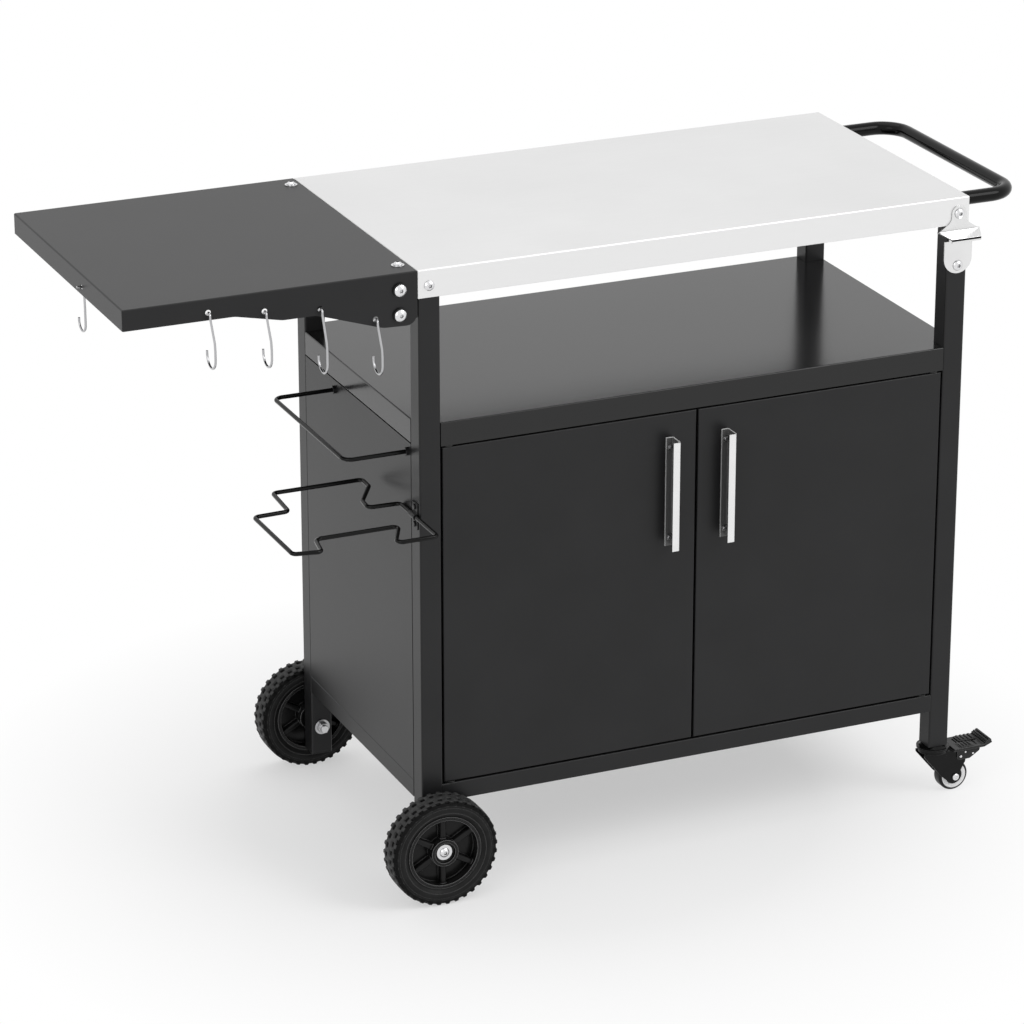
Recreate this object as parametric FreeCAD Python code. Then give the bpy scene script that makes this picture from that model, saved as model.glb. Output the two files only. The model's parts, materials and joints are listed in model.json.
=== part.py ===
import FreeCAD, Part
import math
import os

# Grill cart with storage: a steel worktop on four square posts over a closed two-door cabinet,
# a side table with hooks on the left, a push handle on the right, two wheels and two casters.
# +X runs along the cart from the side table to the push handle, -Y is the front with the doors,
# +Z is up. The origin lies on the floor under the middle of the whole cart. Sizes are millimetres.

# Worktop
worktop_length = 800.0
worktop_depth = 440.0
worktop_height = 880.0
worktop_flange = 38.0
worktop_sheet = 1.0
worktop_bend = 1.8
stiffener_width = 70.0
stiffener_height = 18.0
stiffener_foot = 12.0

# Posts
post_width = 30.0
post_wall = 1.5
post_corner = 2.5
wheel_post_foot = 38.0
caster_post_foot = 75.0
foot_cap_lip = 3.0

# Cabinet
panel_sheet = 1.0
panel_bend = 1.6
shelf_drop = 211.0
shelf_band = 32.5
lip_depth = 28.0
floor_band = 25.0
cabinet_clearance = 131.0
door_depth = 15.0
door_lip = 11.0
door_gap = 2.5
door_side_gap = 2.5
door_centre_gap = 3.0
panel_gap = 2.0
panel_return = 14.0
sheet_fit = 0.2

# Door pivots and catches
pivot_inset = 10.0
pivot_setback = 6.5
pin_radius = 2.5
pin_reach = 9.0
pin_collar_radius = 5.0
pin_collar_height = 3.0
bush_radius = 4.0
bush_flange_radius = 7.0
running_fit = 0.05
thrust_gap = 0.3
catch_length = 34.0
catch_depth = 12.0
catch_height = 13.0
catch_spacing = 60.0

# Door handles
handle_length = 154.0
handle_reach_out = 25.0
handle_flange = 11.0
handle_sheet = 1.4
handle_bend = 2.4
handle_top_drop = 279.0
handle_offset = 41.0
handle_screw_spacing = 128.0
handle_screw_radius = 2.0
handle_screw_head_radius = 3.8
handle_screw_head_height = 2.2
handle_screw_end = 4.5
handle_nut_width = 6.4
handle_nut_thickness = 3.0

# Side table
table_length = 396.0
table_sheet = 1.2
table_bend = 2.0
table_joint = 1.5
table_flange = 28.0
table_middle_depth = 41.5
table_end_depth = 72.0
table_end_radius = 14.0
table_step_radius = 40.0
table_first_step = 148.0
table_second_step = 258.0
table_step_run = 64.0
table_deep_run = 48.0
table_edge_rise = 1.5
bracket_sheet = 2.0
bracket_length = 54.0
bracket_width = 44.0
bracket_height = 62.0
bracket_bolt_drops = (13.0, 29.0)
table_bolt_inset = 25.0
table_bolt_drops = (22.5, 56.0)
table_spacer_radius = 9.5
table_spacer_thickness = 3.0
table_screw_inset = 15.0
table_screw_edge = 30.0
washer_radius = 8.5
washer_thickness = 1.2

# Hooks
hook_wire = 1.5
hook_eye_radius = 4.5
hook_bend_radius = 15.5
hook_hole_radius = 3.8
hook_hole_edge = 10.0
hook_spacing = 75.0
hook_first_inset = 58.0
hook_drops = (75.0, 87.0, 75.0, 75.0)
hook_lean = 9.0
hook_side_lean = 2.5
hook_hang = 34.0
hook_tail_slope = 36.0
hook_tail_length = 14.0
hook_tip = 3.0
hook_lean_shares = (0.48, 0.62)
side_hook_drop = 62.0
side_hook_eye = 3.5
side_hook_bend = 11.6
side_hook_tail = 6.0
side_hook_shank_share = 0.45
side_hook_place = 160.0

# Push handle
push_radius = 9.5
push_wall = 1.5
push_leg_inset = 48.0
push_bar_reach = 97.5
push_bend = 38.0
push_drop = 19.0
push_collar_radius = 14.0
push_collar_length = 2.5

# Wire racks on the left side
rack_wire = 2.9
towel_reach = 87.0
towel_drop = 259.0
towel_front_arm = 41.0
towel_rear_arm = 300.0
towel_bend = 12.0
ring_drop = 339.0
ring_front = 66.0
ring_rear = 63.0
ring_reach_out = 193.0
ring_side_front = 49.0
ring_side_rear = 92.0
ring_bay_front = 12.0
ring_bay_out = (32.0, 142.0)
ring_neck_rear = 164.0
ring_neck_out = (13.0, 140.0)
ring_bend = 7.0
clip_width = 18.0
clip_sheet = 1.5
clip_screw_rise = 12.0
clip_screw_radius = 2.0
clip_screw_head_radius = 3.8
clip_screw_head_height = 2.0
clip_screw_length = 10.0

# Bottle opener
opener_sheet = 1.8
opener_lobe_radius = 11.0
opener_top_drop = 22.0
opener_screw_spacing = 73.0
opener_fold_drop = 45.0
opener_neck_width = 22.0
opener_neck_curve = 12.0
opener_hood_width = 64.0
opener_hood_reach = 24.0
opener_hood_fall = 5.0
opener_lip_width = 44.0
opener_lip_fall = 3.5
opener_web_width = 28.0
opener_mouth_width = 18.0
opener_mouth_drop = 48.0
opener_mouth_corner = 3.0
opener_shoulder_drop = 60.0
opener_plate_width = 42.0
opener_plate_end = 106.0

# Screws
screw_radius = 3.0
screw_head_radius = 7.0
screw_head_height = 4.2
screw_socket = 2.2
screw_length = 12.0
table_bolt_head_radius = 8.0
nut_radius = 6.0
nut_height = 4.0
hole_fit = 0.15

# Big wheels
wheel_radius = 76.0
wheel_width = 40.0
wheel_gap = 6.0
tread_pitches = 36
tread_depth = 3.0
pit_length = 6.4
pit_width = 6.6
pit_offset = 7.2
notch_width = 5.5
tyre_shoulder = 5.0
rim_radius = 52.0
rim_wall = 2.5
rim_lip = 2.5
wheel_disc = 3.0
spoke_count = 6
spoke_width = 8.5
spoke_depth = 22.0
spoke_round = 3.0
spoke_phase = 30.0
hub_radius = 19.0
hub_recess_radius = 14.5
hub_recess_depth = 5.0
hub_face = 17.0
axle_radius = 5.0
axle_head_radius = 6.5
axle_washer_radius = 11.0
axle_washer_thickness = 1.6
axle_nut_radius = 8.0
axle_nut_height = 7.0
spacer_radius = 9.0

# Casters
caster_wheel_radius = 22.5
caster_wheel_width = 21.0
caster_trail = 30.0
caster_race_radius = 23.5
caster_race_height = 6.0
caster_plug_height = 22.0
caster_stem_radius = 5.0
caster_stem_foot = 8.0
caster_tread_round = 3.5
caster_ring_radii = (12.5, 18.5)
caster_ring_relief = 1.4
caster_hub_radius = 6.0
fork_sheet = 2.2
fork_gap = 1.3
fork_crown_radius = 21.0
fork_crown_height = 5.0
fork_boss_radius = 8.0
fork_shoulder = 20.0
fork_skirt = 14.0
fork_pivot_boss = 8.5
caster_axle_radius = 3.0
caster_axle_head = 5.0
caster_axle_head_height = 2.2
pedal_width = 41.0
pedal_start = 24.0
pedal_reach = 84.0
pedal_thickness = 3.6
pedal_end_length = 12.0
pedal_end_rise = 5.0
pedal_pivot_reach = 37.0
pedal_pivot_height = 53.0
pedal_pin_radius = 2.0
pedal_cheek_sheet = 1.4
pedal_cheek_gap = 0.3
pedal_rivet_radius = 1.6
pedal_rivets = ((44.0, 59.0), (56.0, 55.0))
pedal_groove_width = 3.0
pedal_groove_pitch = 8.0
pedal_grooves = 4
pedal_groove_start = 12.0
pedal_groove_depth = 1.2
pedal_groove_margin = 6.0
pedal_rivet_rise = 0.8
pedal_rivet_sink = 0.2
pedal_pin_inset = 0.4
pedal_cheek_rear = 6.0
pedal_cheek_bend = 14.0
pedal_cheek_fore = 30.0
pedal_cheek_rise = 5.0

X = FreeCAD.Vector(1, 0, 0)
Y = FreeCAD.Vector(0, 1, 0)
Z = FreeCAD.Vector(0, 0, 1)
ORIGIN = FreeCAD.Vector(0, 0, 0)

# Places worked out from the sizes above
total_length = side_hook_tail + table_length + worktop_length + push_bar_reach + push_radius
wheel_reach = wheel_gap + wheel_width - worktop_sheet
ring_reach = ring_front + rack_wire
total_width = ring_reach + worktop_depth + wheel_reach
left = side_hook_tail + table_length - total_length / 2
right = left + worktop_length
front = ring_reach - total_width / 2
back = front + worktop_depth
middle = (front + back) / 2
top = worktop_height
post_left = left + worktop_sheet
post_right = right - worktop_sheet
post_front = front + worktop_sheet
post_back = back - worktop_sheet
post_centre = worktop_sheet + post_width / 2
bay_left = post_left + post_width
bay_right = post_right - post_width
bay_front = post_front + post_width
bay_back = post_back - post_width
shelf_top = top - shelf_drop
shelf_bottom = shelf_top - shelf_band
floor_bottom = cabinet_clearance
floor_top = floor_bottom + floor_band
door_top = shelf_bottom - door_gap
door_bottom = floor_top + door_gap
door_width = (bay_right - bay_left - 2 * door_side_gap - door_centre_gap) / 2
pivot_y = post_front + pivot_setback
axle_x = left + post_centre
axle_z = wheel_radius
wheel_middle = front + worktop_sheet - wheel_gap - wheel_width / 2
caster_x = right - post_centre


def vector(x, y, z):
    return FreeCAD.Vector(x, y, z)


def box(x0, y0, z0, x1, y1, z1):
    return Part.makeBox(x1 - x0, y1 - y0, z1 - z0, vector(x0, y0, z0))


def rod(start, direction, length, radius):
    return Part.makeCylinder(radius, length, start, direction)


def upright(edge):
    ends = [vertex.Point for vertex in edge.Vertexes]
    return len(ends) == 2 and abs(ends[0].x - ends[1].x) < 1e-6 and abs(ends[0].y - ends[1].y) < 1e-6


def at_height(edge, z):
    return all(abs(vertex.Point.z - z) < 1e-6 for vertex in edge.Vertexes)


def soften(shape, radius, wanted):
    """round the wanted edges of a solid"""
    return shape.makeFillet(radius, [edge for edge in shape.Edges if wanted(edge)])


def group(solids):
    return Part.makeCompound(solids)


def joined(first, *others):
    return first.multiFuse(list(others)).removeSplitter()


def placed(shape, point, outward):
    """a shape made around the Z axis, moved to a point with its +Z turned outward"""
    result = shape.copy()
    result.Placement = FreeCAD.Placement(point, FreeCAD.Rotation(Z, outward))
    return result


def rounded_edges(points, radii, closed=False):
    """straight runs through the points, joined by arcs tangent to both runs"""
    count = len(points)
    corners = []
    for index in range(count):
        if not closed and index in (0, count - 1):
            corners.append((points[index], points[index], None))
            continue
        before = points[index - 1]
        here = points[index]
        after = points[(index + 1) % count]
        way_in = (here - before).normalize()
        way_out = (after - here).normalize()
        radius = radii[index] if isinstance(radii, (list, tuple)) else radii
        turn = way_in.getAngle(way_out)
        if radius == 0 or turn < 1e-4:
            corners.append((here, here, None))
            continue
        reach = radius * math.tan(turn / 2)
        inward = (way_out - way_in).normalize()
        crest = here + inward * (radius / math.cos(turn / 2) - radius)
        corners.append((here - way_in * reach, here + way_out * reach, crest))
    edges = []
    for index in range(count):
        start, end, crest = corners[index]
        if crest is not None:
            edges.append(Part.Arc(start, crest, end).toShape())
        if index == count - 1 and not closed:
            break
        next_start = corners[(index + 1) % count][0]
        if (next_start - end).Length > 1e-4:
            edges.append(Part.LineSegment(end, next_start).toShape())
    return edges


def outline_face(points, radii=0):
    return Part.Face(Part.Wire(rounded_edges(points, radii, closed=True)))


def bar_along(edges, radius):
    """a round bar along a route: a cylinder for each straight run, part of a ring for each arc"""
    pieces = []
    for edge in edges:
        start = edge.valueAt(edge.FirstParameter)
        way = edge.tangentAt(edge.FirstParameter)
        if isinstance(edge.Curve, Part.Circle):
            disc = Part.Face(Part.Wire(Part.Circle(start, way, radius).toShape()))
            turn = math.degrees(edge.LastParameter - edge.FirstParameter)
            pieces.append(disc.revolve(edge.Curve.Center, edge.Curve.Axis, turn))
        else:
            pieces.append(rod(start, way, edge.Length, radius))
    return joined(*pieces)


def bent_rod(points, radii, radius):
    """a round bar bent along an open route"""
    return bar_along(rounded_edges(points, radii), radius)


def bent_ring(points, radii, radius):
    """a round bar bent into a closed loop"""
    return bar_along(rounded_edges(points, radii, closed=True), radius)


def hex_prism(radius, height):
    corners = [vector(radius * math.cos(math.radians(60 * k)), radius * math.sin(math.radians(60 * k)), 0)
               for k in range(6)]
    return outline_face(corners).extrude(Z * height)


def dome_screw(seat, outward, length, head_radius, shank_radius=screw_radius):
    """a dome-head screw with a six-sided socket, its head resting on the seat"""
    rim = 1.0
    crown = screw_head_height - rim
    dome_radius = (head_radius ** 2 + crown ** 2) / (2 * crown)
    half_angle = math.asin(head_radius / dome_radius) / 2
    dome_middle = vector(dome_radius * math.sin(half_angle), 0,
                         screw_head_height - dome_radius * (1 - math.cos(half_angle)))
    peak = vector(0, 0, screw_head_height)
    edges = [Part.LineSegment(vector(0, 0, -length), vector(shank_radius, 0, -length)).toShape(),
             Part.LineSegment(vector(shank_radius, 0, -length), vector(shank_radius, 0, 0)).toShape(),
             Part.LineSegment(vector(shank_radius, 0, 0), vector(head_radius, 0, 0)).toShape(),
             Part.LineSegment(vector(head_radius, 0, 0), vector(head_radius, 0, rim)).toShape(),
             Part.Arc(vector(head_radius, 0, rim), dome_middle, peak).toShape(),
             Part.LineSegment(peak, vector(0, 0, -length)).toShape()]
    body = Part.Face(Part.Wire(edges)).revolve(ORIGIN, Z, 360)
    socket = hex_prism(screw_socket * 1.25, screw_head_height)
    socket.translate(Z * (screw_head_height - screw_socket))
    return placed(body.cut(socket), seat, outward)


def folded_tray(x0, y0, x1, y1, z_top, depth, sheet, bend):
    """a sheet folded down on all four sides, open below"""
    outer = soften(box(x0, y0, z_top - depth, x1, y1, z_top), bend,
                   lambda edge: upright(edge) or at_height(edge, z_top))
    inner = box(x0 + sheet, y0 + sheet, z_top - depth - 1, x1 - sheet, y1 - sheet, z_top - sheet)
    return outer.cut(inner)


def post_space(fit):
    """the room that the four posts take, for the notches of the sheets between them"""
    places = [(x, y) for x in (post_left, post_right - post_width)
              for y in (post_front, post_back - post_width)]
    return [box(x - fit, y - fit, 0, x + post_width + fit, y + post_width + fit, top) for x, y in places]


def worktop_screw_places():
    """where the worktop is screwed to its posts: each place and the way out of the sheet"""
    z = top - opener_top_drop
    return [(vector(left + post_centre, front, z), -Y), (vector(right - post_centre, front, z), -Y),
            (vector(left + post_centre, back, z), Y), (vector(right - post_centre, back, z), Y)]


def bracket_bolt_places():
    """the bolts that hold the side table's brackets against the worktop flange and its posts"""
    return [vector(left, middle + side * (worktop_depth / 2 - post_centre), top - drop)
            for side in (-1, 1) for drop in bracket_bolt_drops]


def screw_hole(seat, outward, depth, radius=screw_radius):
    return rod(seat + outward * 5, outward * -1, depth + 5, radius + hole_fit)


def worktop_tray():
    tray = folded_tray(left, front, right, back, top, worktop_flange, worktop_sheet, worktop_bend)
    holes = [screw_hole(seat, outward, 10) for seat, outward in worktop_screw_places()]
    holes += [screw_hole(seat, -X, 10) for seat in bracket_bolt_places()]
    holes += [rod(vector(right - 5, y, top - push_drop), X, 10, screw_radius + hole_fit)
              for y in push_leg_places()]
    return tray.cut(group(holes))


def worktop_stiffener():
    """a hat channel under the sheet, from end to end between the posts"""
    sheet = worktop_sheet
    half = stiffener_width / 2
    under = top - worktop_sheet
    x0 = left + worktop_sheet
    x1 = right - worktop_sheet
    low = under - stiffener_height
    wall = half - stiffener_foot
    channel = box(x0, middle - wall, low, x1, middle + wall, under)
    hollow = box(x0, middle - wall + sheet, low + sheet, x1, middle + wall - sheet, under)
    feet = [box(x0, middle - half, under - sheet, x1, middle - wall + sheet, under),
            box(x0, middle + wall - sheet, under - sheet, x1, middle + half, under)]
    return joined(channel.cut(hollow), *feet)


def post(x_side, y_side):
    """one square tube with its holes; x_side and y_side are -1 or 1"""
    x0 = post_left if x_side < 0 else post_right - post_width
    y0 = post_front if y_side < 0 else post_back - post_width
    foot = wheel_post_foot if x_side < 0 else caster_post_foot
    tube = soften(box(x0, y0, foot, x0 + post_width, y0 + post_width, top - worktop_sheet),
                  post_corner, upright)
    bore = box(x0 + post_wall, y0 + post_wall, foot - 1,
               x0 + post_width - post_wall, y0 + post_width - post_wall, top)
    holes = [screw_hole(seat, outward, 8) for seat, outward in worktop_screw_places()]
    if x_side < 0:
        holes += [screw_hole(seat, -X, 8) for seat in bracket_bolt_places()]
        holes.append(rod(vector(axle_x, y0 - 1, axle_z), Y, post_width + 2, axle_radius + hole_fit))
    if x_side > 0 and y_side < 0:
        holes.append(screw_hole(opener_lower_seat(), -Y, 8))
    if x_side < 0 and y_side < 0:
        holes += [screw_hole(seat, -X, 8) for seat in clip_screw_places()]
    return tube.cut(bore).cut(group(holes))


def post_caps():
    """plastic plugs in the open feet of the two posts that carry the wheels"""
    caps = []
    for y0 in (post_front, post_back - post_width):
        inset = post_wall + sheet_fit
        plug = box(post_left + inset, y0 + inset, wheel_post_foot,
                   post_left + post_width - inset, y0 + post_width - inset, wheel_post_foot + 12)
        plate = soften(box(post_left, y0, wheel_post_foot - foot_cap_lip,
                           post_left + post_width, y0 + post_width, wheel_post_foot), post_corner, upright)
        caps.append(joined(plate, plug))
    return group(caps)


def push_leg_places():
    return (front + push_leg_inset, back - push_leg_inset)


def push_handle():
    """the bent tube with a collar at each leg, standing out from the right flange"""
    z = top - push_drop
    x_bar = right + push_bar_reach
    y_front, y_back = push_leg_places()
    route = [vector(right, y_front, z), vector(x_bar, y_front, z),
             vector(x_bar, y_back, z), vector(right, y_back, z)]
    tube = bent_rod(route, push_bend, push_radius)
    bore = bent_rod(route, push_bend, push_radius - push_wall)
    legs = []
    plugs = []
    for y in push_leg_places():
        legs.append(rod(vector(right, y, z), X, push_collar_length, push_collar_radius))
        plugs.append(rod(vector(right, y, z), X, 20, push_radius - push_wall / 2))
    handle = tube.cut(bore)
    handle = joined(handle, *legs, *plugs)
    threads = [rod(vector(right - 1, y, z), X, 15, screw_radius + hole_fit) for y in push_leg_places()]
    return handle.cut(group(threads))


def push_handle_bolts():
    """a bolt with a broad washer inside the flange for each leg"""
    bolts = []
    for y in push_leg_places():
        inside = vector(right - worktop_sheet, y, top - push_drop)
        washer = rod(inside, -X, washer_thickness, push_collar_radius)
        shank = rod(inside - X * washer_thickness, X, 14, screw_radius)
        head = placed(hex_prism(nut_radius, nut_height), inside - X * washer_thickness, -X)
        bolts.append(joined(washer, shank, head))
    return group(bolts)


def hung_sheet(z_top, z_bottom, front_lip):
    """a tray that lies between the posts, its flanges turned in again along their lower edges"""
    outer = soften(box(post_left, post_front, z_bottom, post_right, post_back, z_top), panel_bend,
                   lambda edge: at_height(edge, z_top))
    sheet = panel_sheet
    inner = box(post_left + sheet, post_front + sheet, z_bottom + sheet,
                post_right - sheet, post_back - sheet, z_top - sheet)
    below = box(post_left + panel_return, post_front + front_lip, z_bottom - 1,
                post_right - panel_return, post_back - panel_return, z_bottom + 2 * sheet)
    return outer.cut(inner).cut(below).cut(group(post_space(sheet_fit)))


def pivot_places():
    """the x of the left and the right door's pivot pins"""
    return (bay_left + door_side_gap + pivot_inset, bay_right - door_side_gap - pivot_inset)


def cabinet_top():
    tray = hung_sheet(shelf_top, shelf_bottom, lip_depth)
    holes = [rod(vector(x, pivot_y, shelf_bottom - 1), Z, 3, bush_radius) for x in pivot_places()]
    return tray.cut(group(holes))


def cabinet_floor():
    tray = hung_sheet(floor_top, floor_bottom, panel_return)
    holes = [rod(vector(x, pivot_y, floor_top - 2), Z, 3, bush_radius) for x in pivot_places()]
    return tray.cut(group(holes))


def side_panel(side):
    """a shallow pan between the front and back posts; side is -1 for left and 1 for right"""
    outer_x = post_left if side < 0 else post_right
    inner_x = outer_x - side * panel_return
    x0, x1 = sorted((outer_x, inner_x))
    y0 = bay_front + sheet_fit
    y1 = bay_back - sheet_fit
    z0 = floor_top + sheet_fit
    z1 = shelf_bottom - panel_gap
    outer = box(x0, y0, z0, x1, y1, z1)
    sheet = panel_sheet
    hollow_x0 = x0 + sheet if side < 0 else x0 - 1
    hollow_x1 = x1 + 1 if side < 0 else x1 - sheet
    panel = outer.cut(box(hollow_x0, y0 + sheet, z0 + sheet, hollow_x1, y1 - sheet, z1 - sheet))
    if side < 0:
        holes = [rod(vector(x0 - 5, y, top - towel_drop), X, 10, rack_wire + hole_fit)
                 for y in towel_arm_places()]
        panel = panel.cut(group(holes))
    return panel


def back_panel():
    x0 = bay_left + sheet_fit
    x1 = bay_right - sheet_fit
    z0 = floor_top + sheet_fit
    z1 = shelf_bottom - panel_gap
    sheet = panel_sheet
    outer = box(x0, post_back - panel_return, z0, x1, post_back, z1)
    inner = box(x0 + sheet, post_back - panel_return - 1, z0 + sheet,
                x1 - sheet, post_back - sheet, z1 - sheet)
    return outer.cut(inner)


def door_span(side):
    """the left and right edge of a door; side is -1 for the left door and 1 for the right"""
    if side < 0:
        return bay_left + door_side_gap, bay_left + door_side_gap + door_width
    return bay_right - door_side_gap - door_width, bay_right - door_side_gap


def door_handle_x(side):
    """the middle of the handle's flange on the door"""
    return (left + right) / 2 + side * handle_offset


def door_handle_screw_places(side):
    centre_z = top - handle_top_drop - handle_length / 2
    return [vector(door_handle_x(side), post_front, centre_z + way * handle_screw_spacing / 2)
            for way in (-1, 1)]


def door(side):
    """a pan with its edges turned back and in, so that it is stiff and hides its raw edges"""
    x0, x1 = door_span(side)
    y0 = post_front
    y1 = post_front + door_depth
    sheet = panel_sheet
    outer = soften(box(x0, y0, door_bottom, x1, y1, door_top), panel_bend,
                   lambda edge: all(abs(vertex.Point.y - y0) < 1e-6 for vertex in edge.Vertexes))
    inner = box(x0 + sheet, y0 + sheet, door_bottom + sheet, x1 - sheet, y1 - sheet, door_top - sheet)
    opening = box(x0 + door_lip, y1 - 2 * sheet, door_bottom + door_lip,
                  x1 - door_lip, y1 + 1, door_top - door_lip)
    pivot_x = pivot_places()[0 if side < 0 else 1]
    holes = [rod(vector(pivot_x, pivot_y, z - 2), Z, 4, pin_radius + hole_fit)
             for z in (door_bottom, door_top)]
    holes += [screw_hole(seat, -Y, 4, handle_screw_radius) for seat in door_handle_screw_places(side)]
    return outer.cut(inner).cut(opening).cut(group(holes))


def door_pins(side):
    """the two pivot pins of a door, each with a collar inside the pan"""
    pivot_x = pivot_places()[0 if side < 0 else 1]
    pins = []
    for z, way in ((door_bottom, -1), (door_top, 1)):
        inside = vector(pivot_x, pivot_y, z - way * panel_sheet)
        collar = rod(inside, Z * -way, pin_collar_height, pin_collar_radius)
        shank = rod(inside, Z * way, pin_reach + panel_sheet, pin_radius)
        pins.append(joined(collar, shank))
    return group(pins)


def pivot_bushes():
    """nylon bushes for the pins, pushed into the cabinet top's lip and into the cabinet floor"""
    bushes = []
    flange = door_gap - thrust_gap
    for x in pivot_places():
        for seat, way in ((vector(x, pivot_y, shelf_bottom), 1), (vector(x, pivot_y, floor_top), -1)):
            sleeve = rod(seat, Z * way, panel_sheet + 3, bush_radius)
            rim = rod(seat, Z * -way, flange, bush_flange_radius)
            bore = rod(seat - Z * way * 10, Z * way, 30, pin_radius + running_fit)
            bushes.append(joined(sleeve, rim).cut(bore))
    return group(bushes)


def magnet_catches():
    """one catch per door, hanging from the lip behind the doors' free corners"""
    catches = []
    y0 = post_front + door_depth + thrust_gap
    for side in (-1, 1):
        x = (left + right) / 2 + side * catch_spacing / 2
        body = box(x - catch_length / 2, y0, shelf_bottom - catch_height,
                   x + catch_length / 2, y0 + catch_depth, shelf_bottom)
        body = soften(body, 1.5, upright)
        catches.append(body)
    return group(catches)


def door_handle(side):
    """a folded channel, open to the left on both doors"""
    x_web = door_handle_x(side) + handle_flange / 2
    z_top = top - handle_top_drop
    near = post_front
    far = post_front - handle_reach_out
    sheet = handle_sheet
    tip = x_web - handle_flange
    z0 = z_top - handle_length
    points = [vector(tip, near, z0), vector(x_web, near, z0), vector(x_web, far, z0), vector(tip, far, z0),
              vector(tip, far + sheet, z0), vector(x_web - sheet, far + sheet, z0),
              vector(x_web - sheet, near - sheet, z0), vector(tip, near - sheet, z0)]
    outer = handle_bend
    inner = handle_bend - sheet
    radii = [0, outer, outer, 0, 0, inner, inner, 0]
    channel = outline_face(points, radii).extrude(Z * handle_length)
    holes = [screw_hole(seat, -Y, 4, handle_screw_radius) for seat in door_handle_screw_places(side)]
    return channel.cut(group(holes))


def door_handle_screws(side):
    """pan heads inside the door, square nuts inside the channel"""
    screws = []
    for seat in door_handle_screw_places(side):
        inside = seat + Y * panel_sheet
        head = rod(inside, Y, handle_screw_head_height, handle_screw_head_radius)
        shank = rod(inside, -Y, panel_sheet + handle_sheet + handle_screw_end, handle_screw_radius)
        nut_y = post_front - handle_sheet
        half = handle_nut_width / 2
        nut = box(seat.x - half, nut_y - handle_nut_thickness, seat.z - half,
                  seat.x + half, nut_y, seat.z + half)
        screws.append(joined(head, shank, nut))
    return group(screws)


def hook_places():
    """the holes of the four front hooks, from the cart outwards, with each hook's drop"""
    places = []
    for index, drop in enumerate(hook_drops):
        inset = hook_first_inset + index * hook_spacing
        edge = table_edge_depth(inset)
        places.append((vector(left - inset, front, top - edge + hook_hole_edge), drop))
    return places


def table_edge_points():
    """the lower edge of the side table's front flange, as distance from the cart and depth"""
    return [(table_length, table_flange), (table_length - table_first_step, table_flange),
            (table_length - table_first_step - table_step_run, table_middle_depth),
            (table_length - table_second_step, table_middle_depth),
            (table_deep_run, table_end_depth - table_edge_rise), (table_joint, table_end_depth)]


def table_edge_depth(distance):
    """depth of the flange at a distance from the cart"""
    points = table_edge_points()
    for (far, far_depth), (near, near_depth) in zip(points, points[1:]):
        if near <= distance <= far:
            share = (far - distance) / (far - near)
            return far_depth + share * (near_depth - far_depth)
    return table_flange


def table_bolt_places():
    return [(vector(left - table_bolt_inset, middle + side * worktop_depth / 2, top - drop), Y * side)
            for side in (-1, 1) for drop in table_bolt_drops]


def table_screw_places():
    reach = worktop_depth / 2 - table_screw_edge
    return [vector(left - table_screw_inset, middle + side * reach, top) for side in (-1, 1)]


def side_hook_hole():
    return vector(left - table_length, front + side_hook_place, top - table_flange + hook_hole_edge)


def side_table():
    """a folded sheet whose front and back flanges grow deeper towards the cart"""
    lower = [vector(left - distance, front, top - depth) for distance, depth in table_edge_points()]
    outline = [vector(left - table_joint, front, top), vector(left - table_length, front, top)] + lower
    radii = [0, 0, 0] + [table_step_radius] * 4 + [table_end_radius]
    body = outline_face(outline, radii).extrude(Y * worktop_depth)
    outer_x = left - table_length
    body = soften(body, table_bend,
                  lambda edge: at_height(edge, top) and edge.BoundBox.XMin < left - table_joint - 1
                  or upright(edge) and abs(edge.Vertexes[0].Point.x - outer_x) < 1e-6)
    sheet = table_sheet
    hollow = box(left - table_length + sheet, front + sheet, top - table_end_depth - 5,
                 left + 1, back - sheet, top - sheet)
    holes = [screw_hole(seat, outward, 4) for seat, outward in table_bolt_places()]
    holes += [screw_hole(seat, Z, 4) for seat in table_screw_places()]
    holes += [rod(vector(place.x, front - 1, place.z), Y, 4, hook_hole_radius)
              for place, drop in hook_places()]
    holes.append(rod(side_hook_hole() - X, X, 4, hook_hole_radius))
    return body.cut(hollow).cut(group(holes))


def side_table_brackets():
    """folded angle brackets inside the flanges, bolted to the worktop flange and the posts"""
    brackets = []
    for side in (-1, 1):
        outer_y = middle + side * (worktop_depth / 2 - table_sheet)
        inner_y = outer_y - side * bracket_width
        y0, y1 = sorted((outer_y, inner_y))
        z1 = top - table_sheet
        body = box(left - bracket_length, y0, z1 - bracket_height, left, y1, z1)
        sheet = bracket_sheet
        hollow_y0 = y0 + sheet if side < 0 else y0 - 1
        hollow_y1 = y1 + 1 if side < 0 else y1 - sheet
        hollow = box(left - bracket_length - 1, hollow_y0, z1 - bracket_height - 1,
                     left - sheet, hollow_y1, z1 - sheet)
        holes = [screw_hole(seat, outward, 6) for seat, outward in table_bolt_places()]
        holes += [screw_hole(seat, Z, 6) for seat in table_screw_places()]
        holes += [rod(seat - X * 5, X, 10, screw_radius + hole_fit) for seat in bracket_bolt_places()]
        brackets.append(body.cut(hollow).cut(group(holes)))
    return group(brackets)


def side_table_spacers():
    """black washers between the bolt heads and the flange"""
    spacers = []
    for seat, outward in table_bolt_places():
        ring = rod(seat, outward, table_spacer_thickness, table_spacer_radius)
        spacers.append(ring.cut(rod(seat, outward, table_spacer_thickness, screw_radius + hole_fit)))
    return group(spacers)


def side_table_bolts():
    """the bolts through the flanges, and those that hold the brackets to the cart"""
    bolts = [dome_screw(seat + outward * table_spacer_thickness, outward,
                        table_spacer_thickness + screw_length, table_bolt_head_radius)
             for seat, outward in table_bolt_places()]
    bolts += [dome_screw(seat - X * bracket_sheet, -X, screw_length, screw_head_radius)
              for seat in bracket_bolt_places()]
    return group(bolts)


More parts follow.
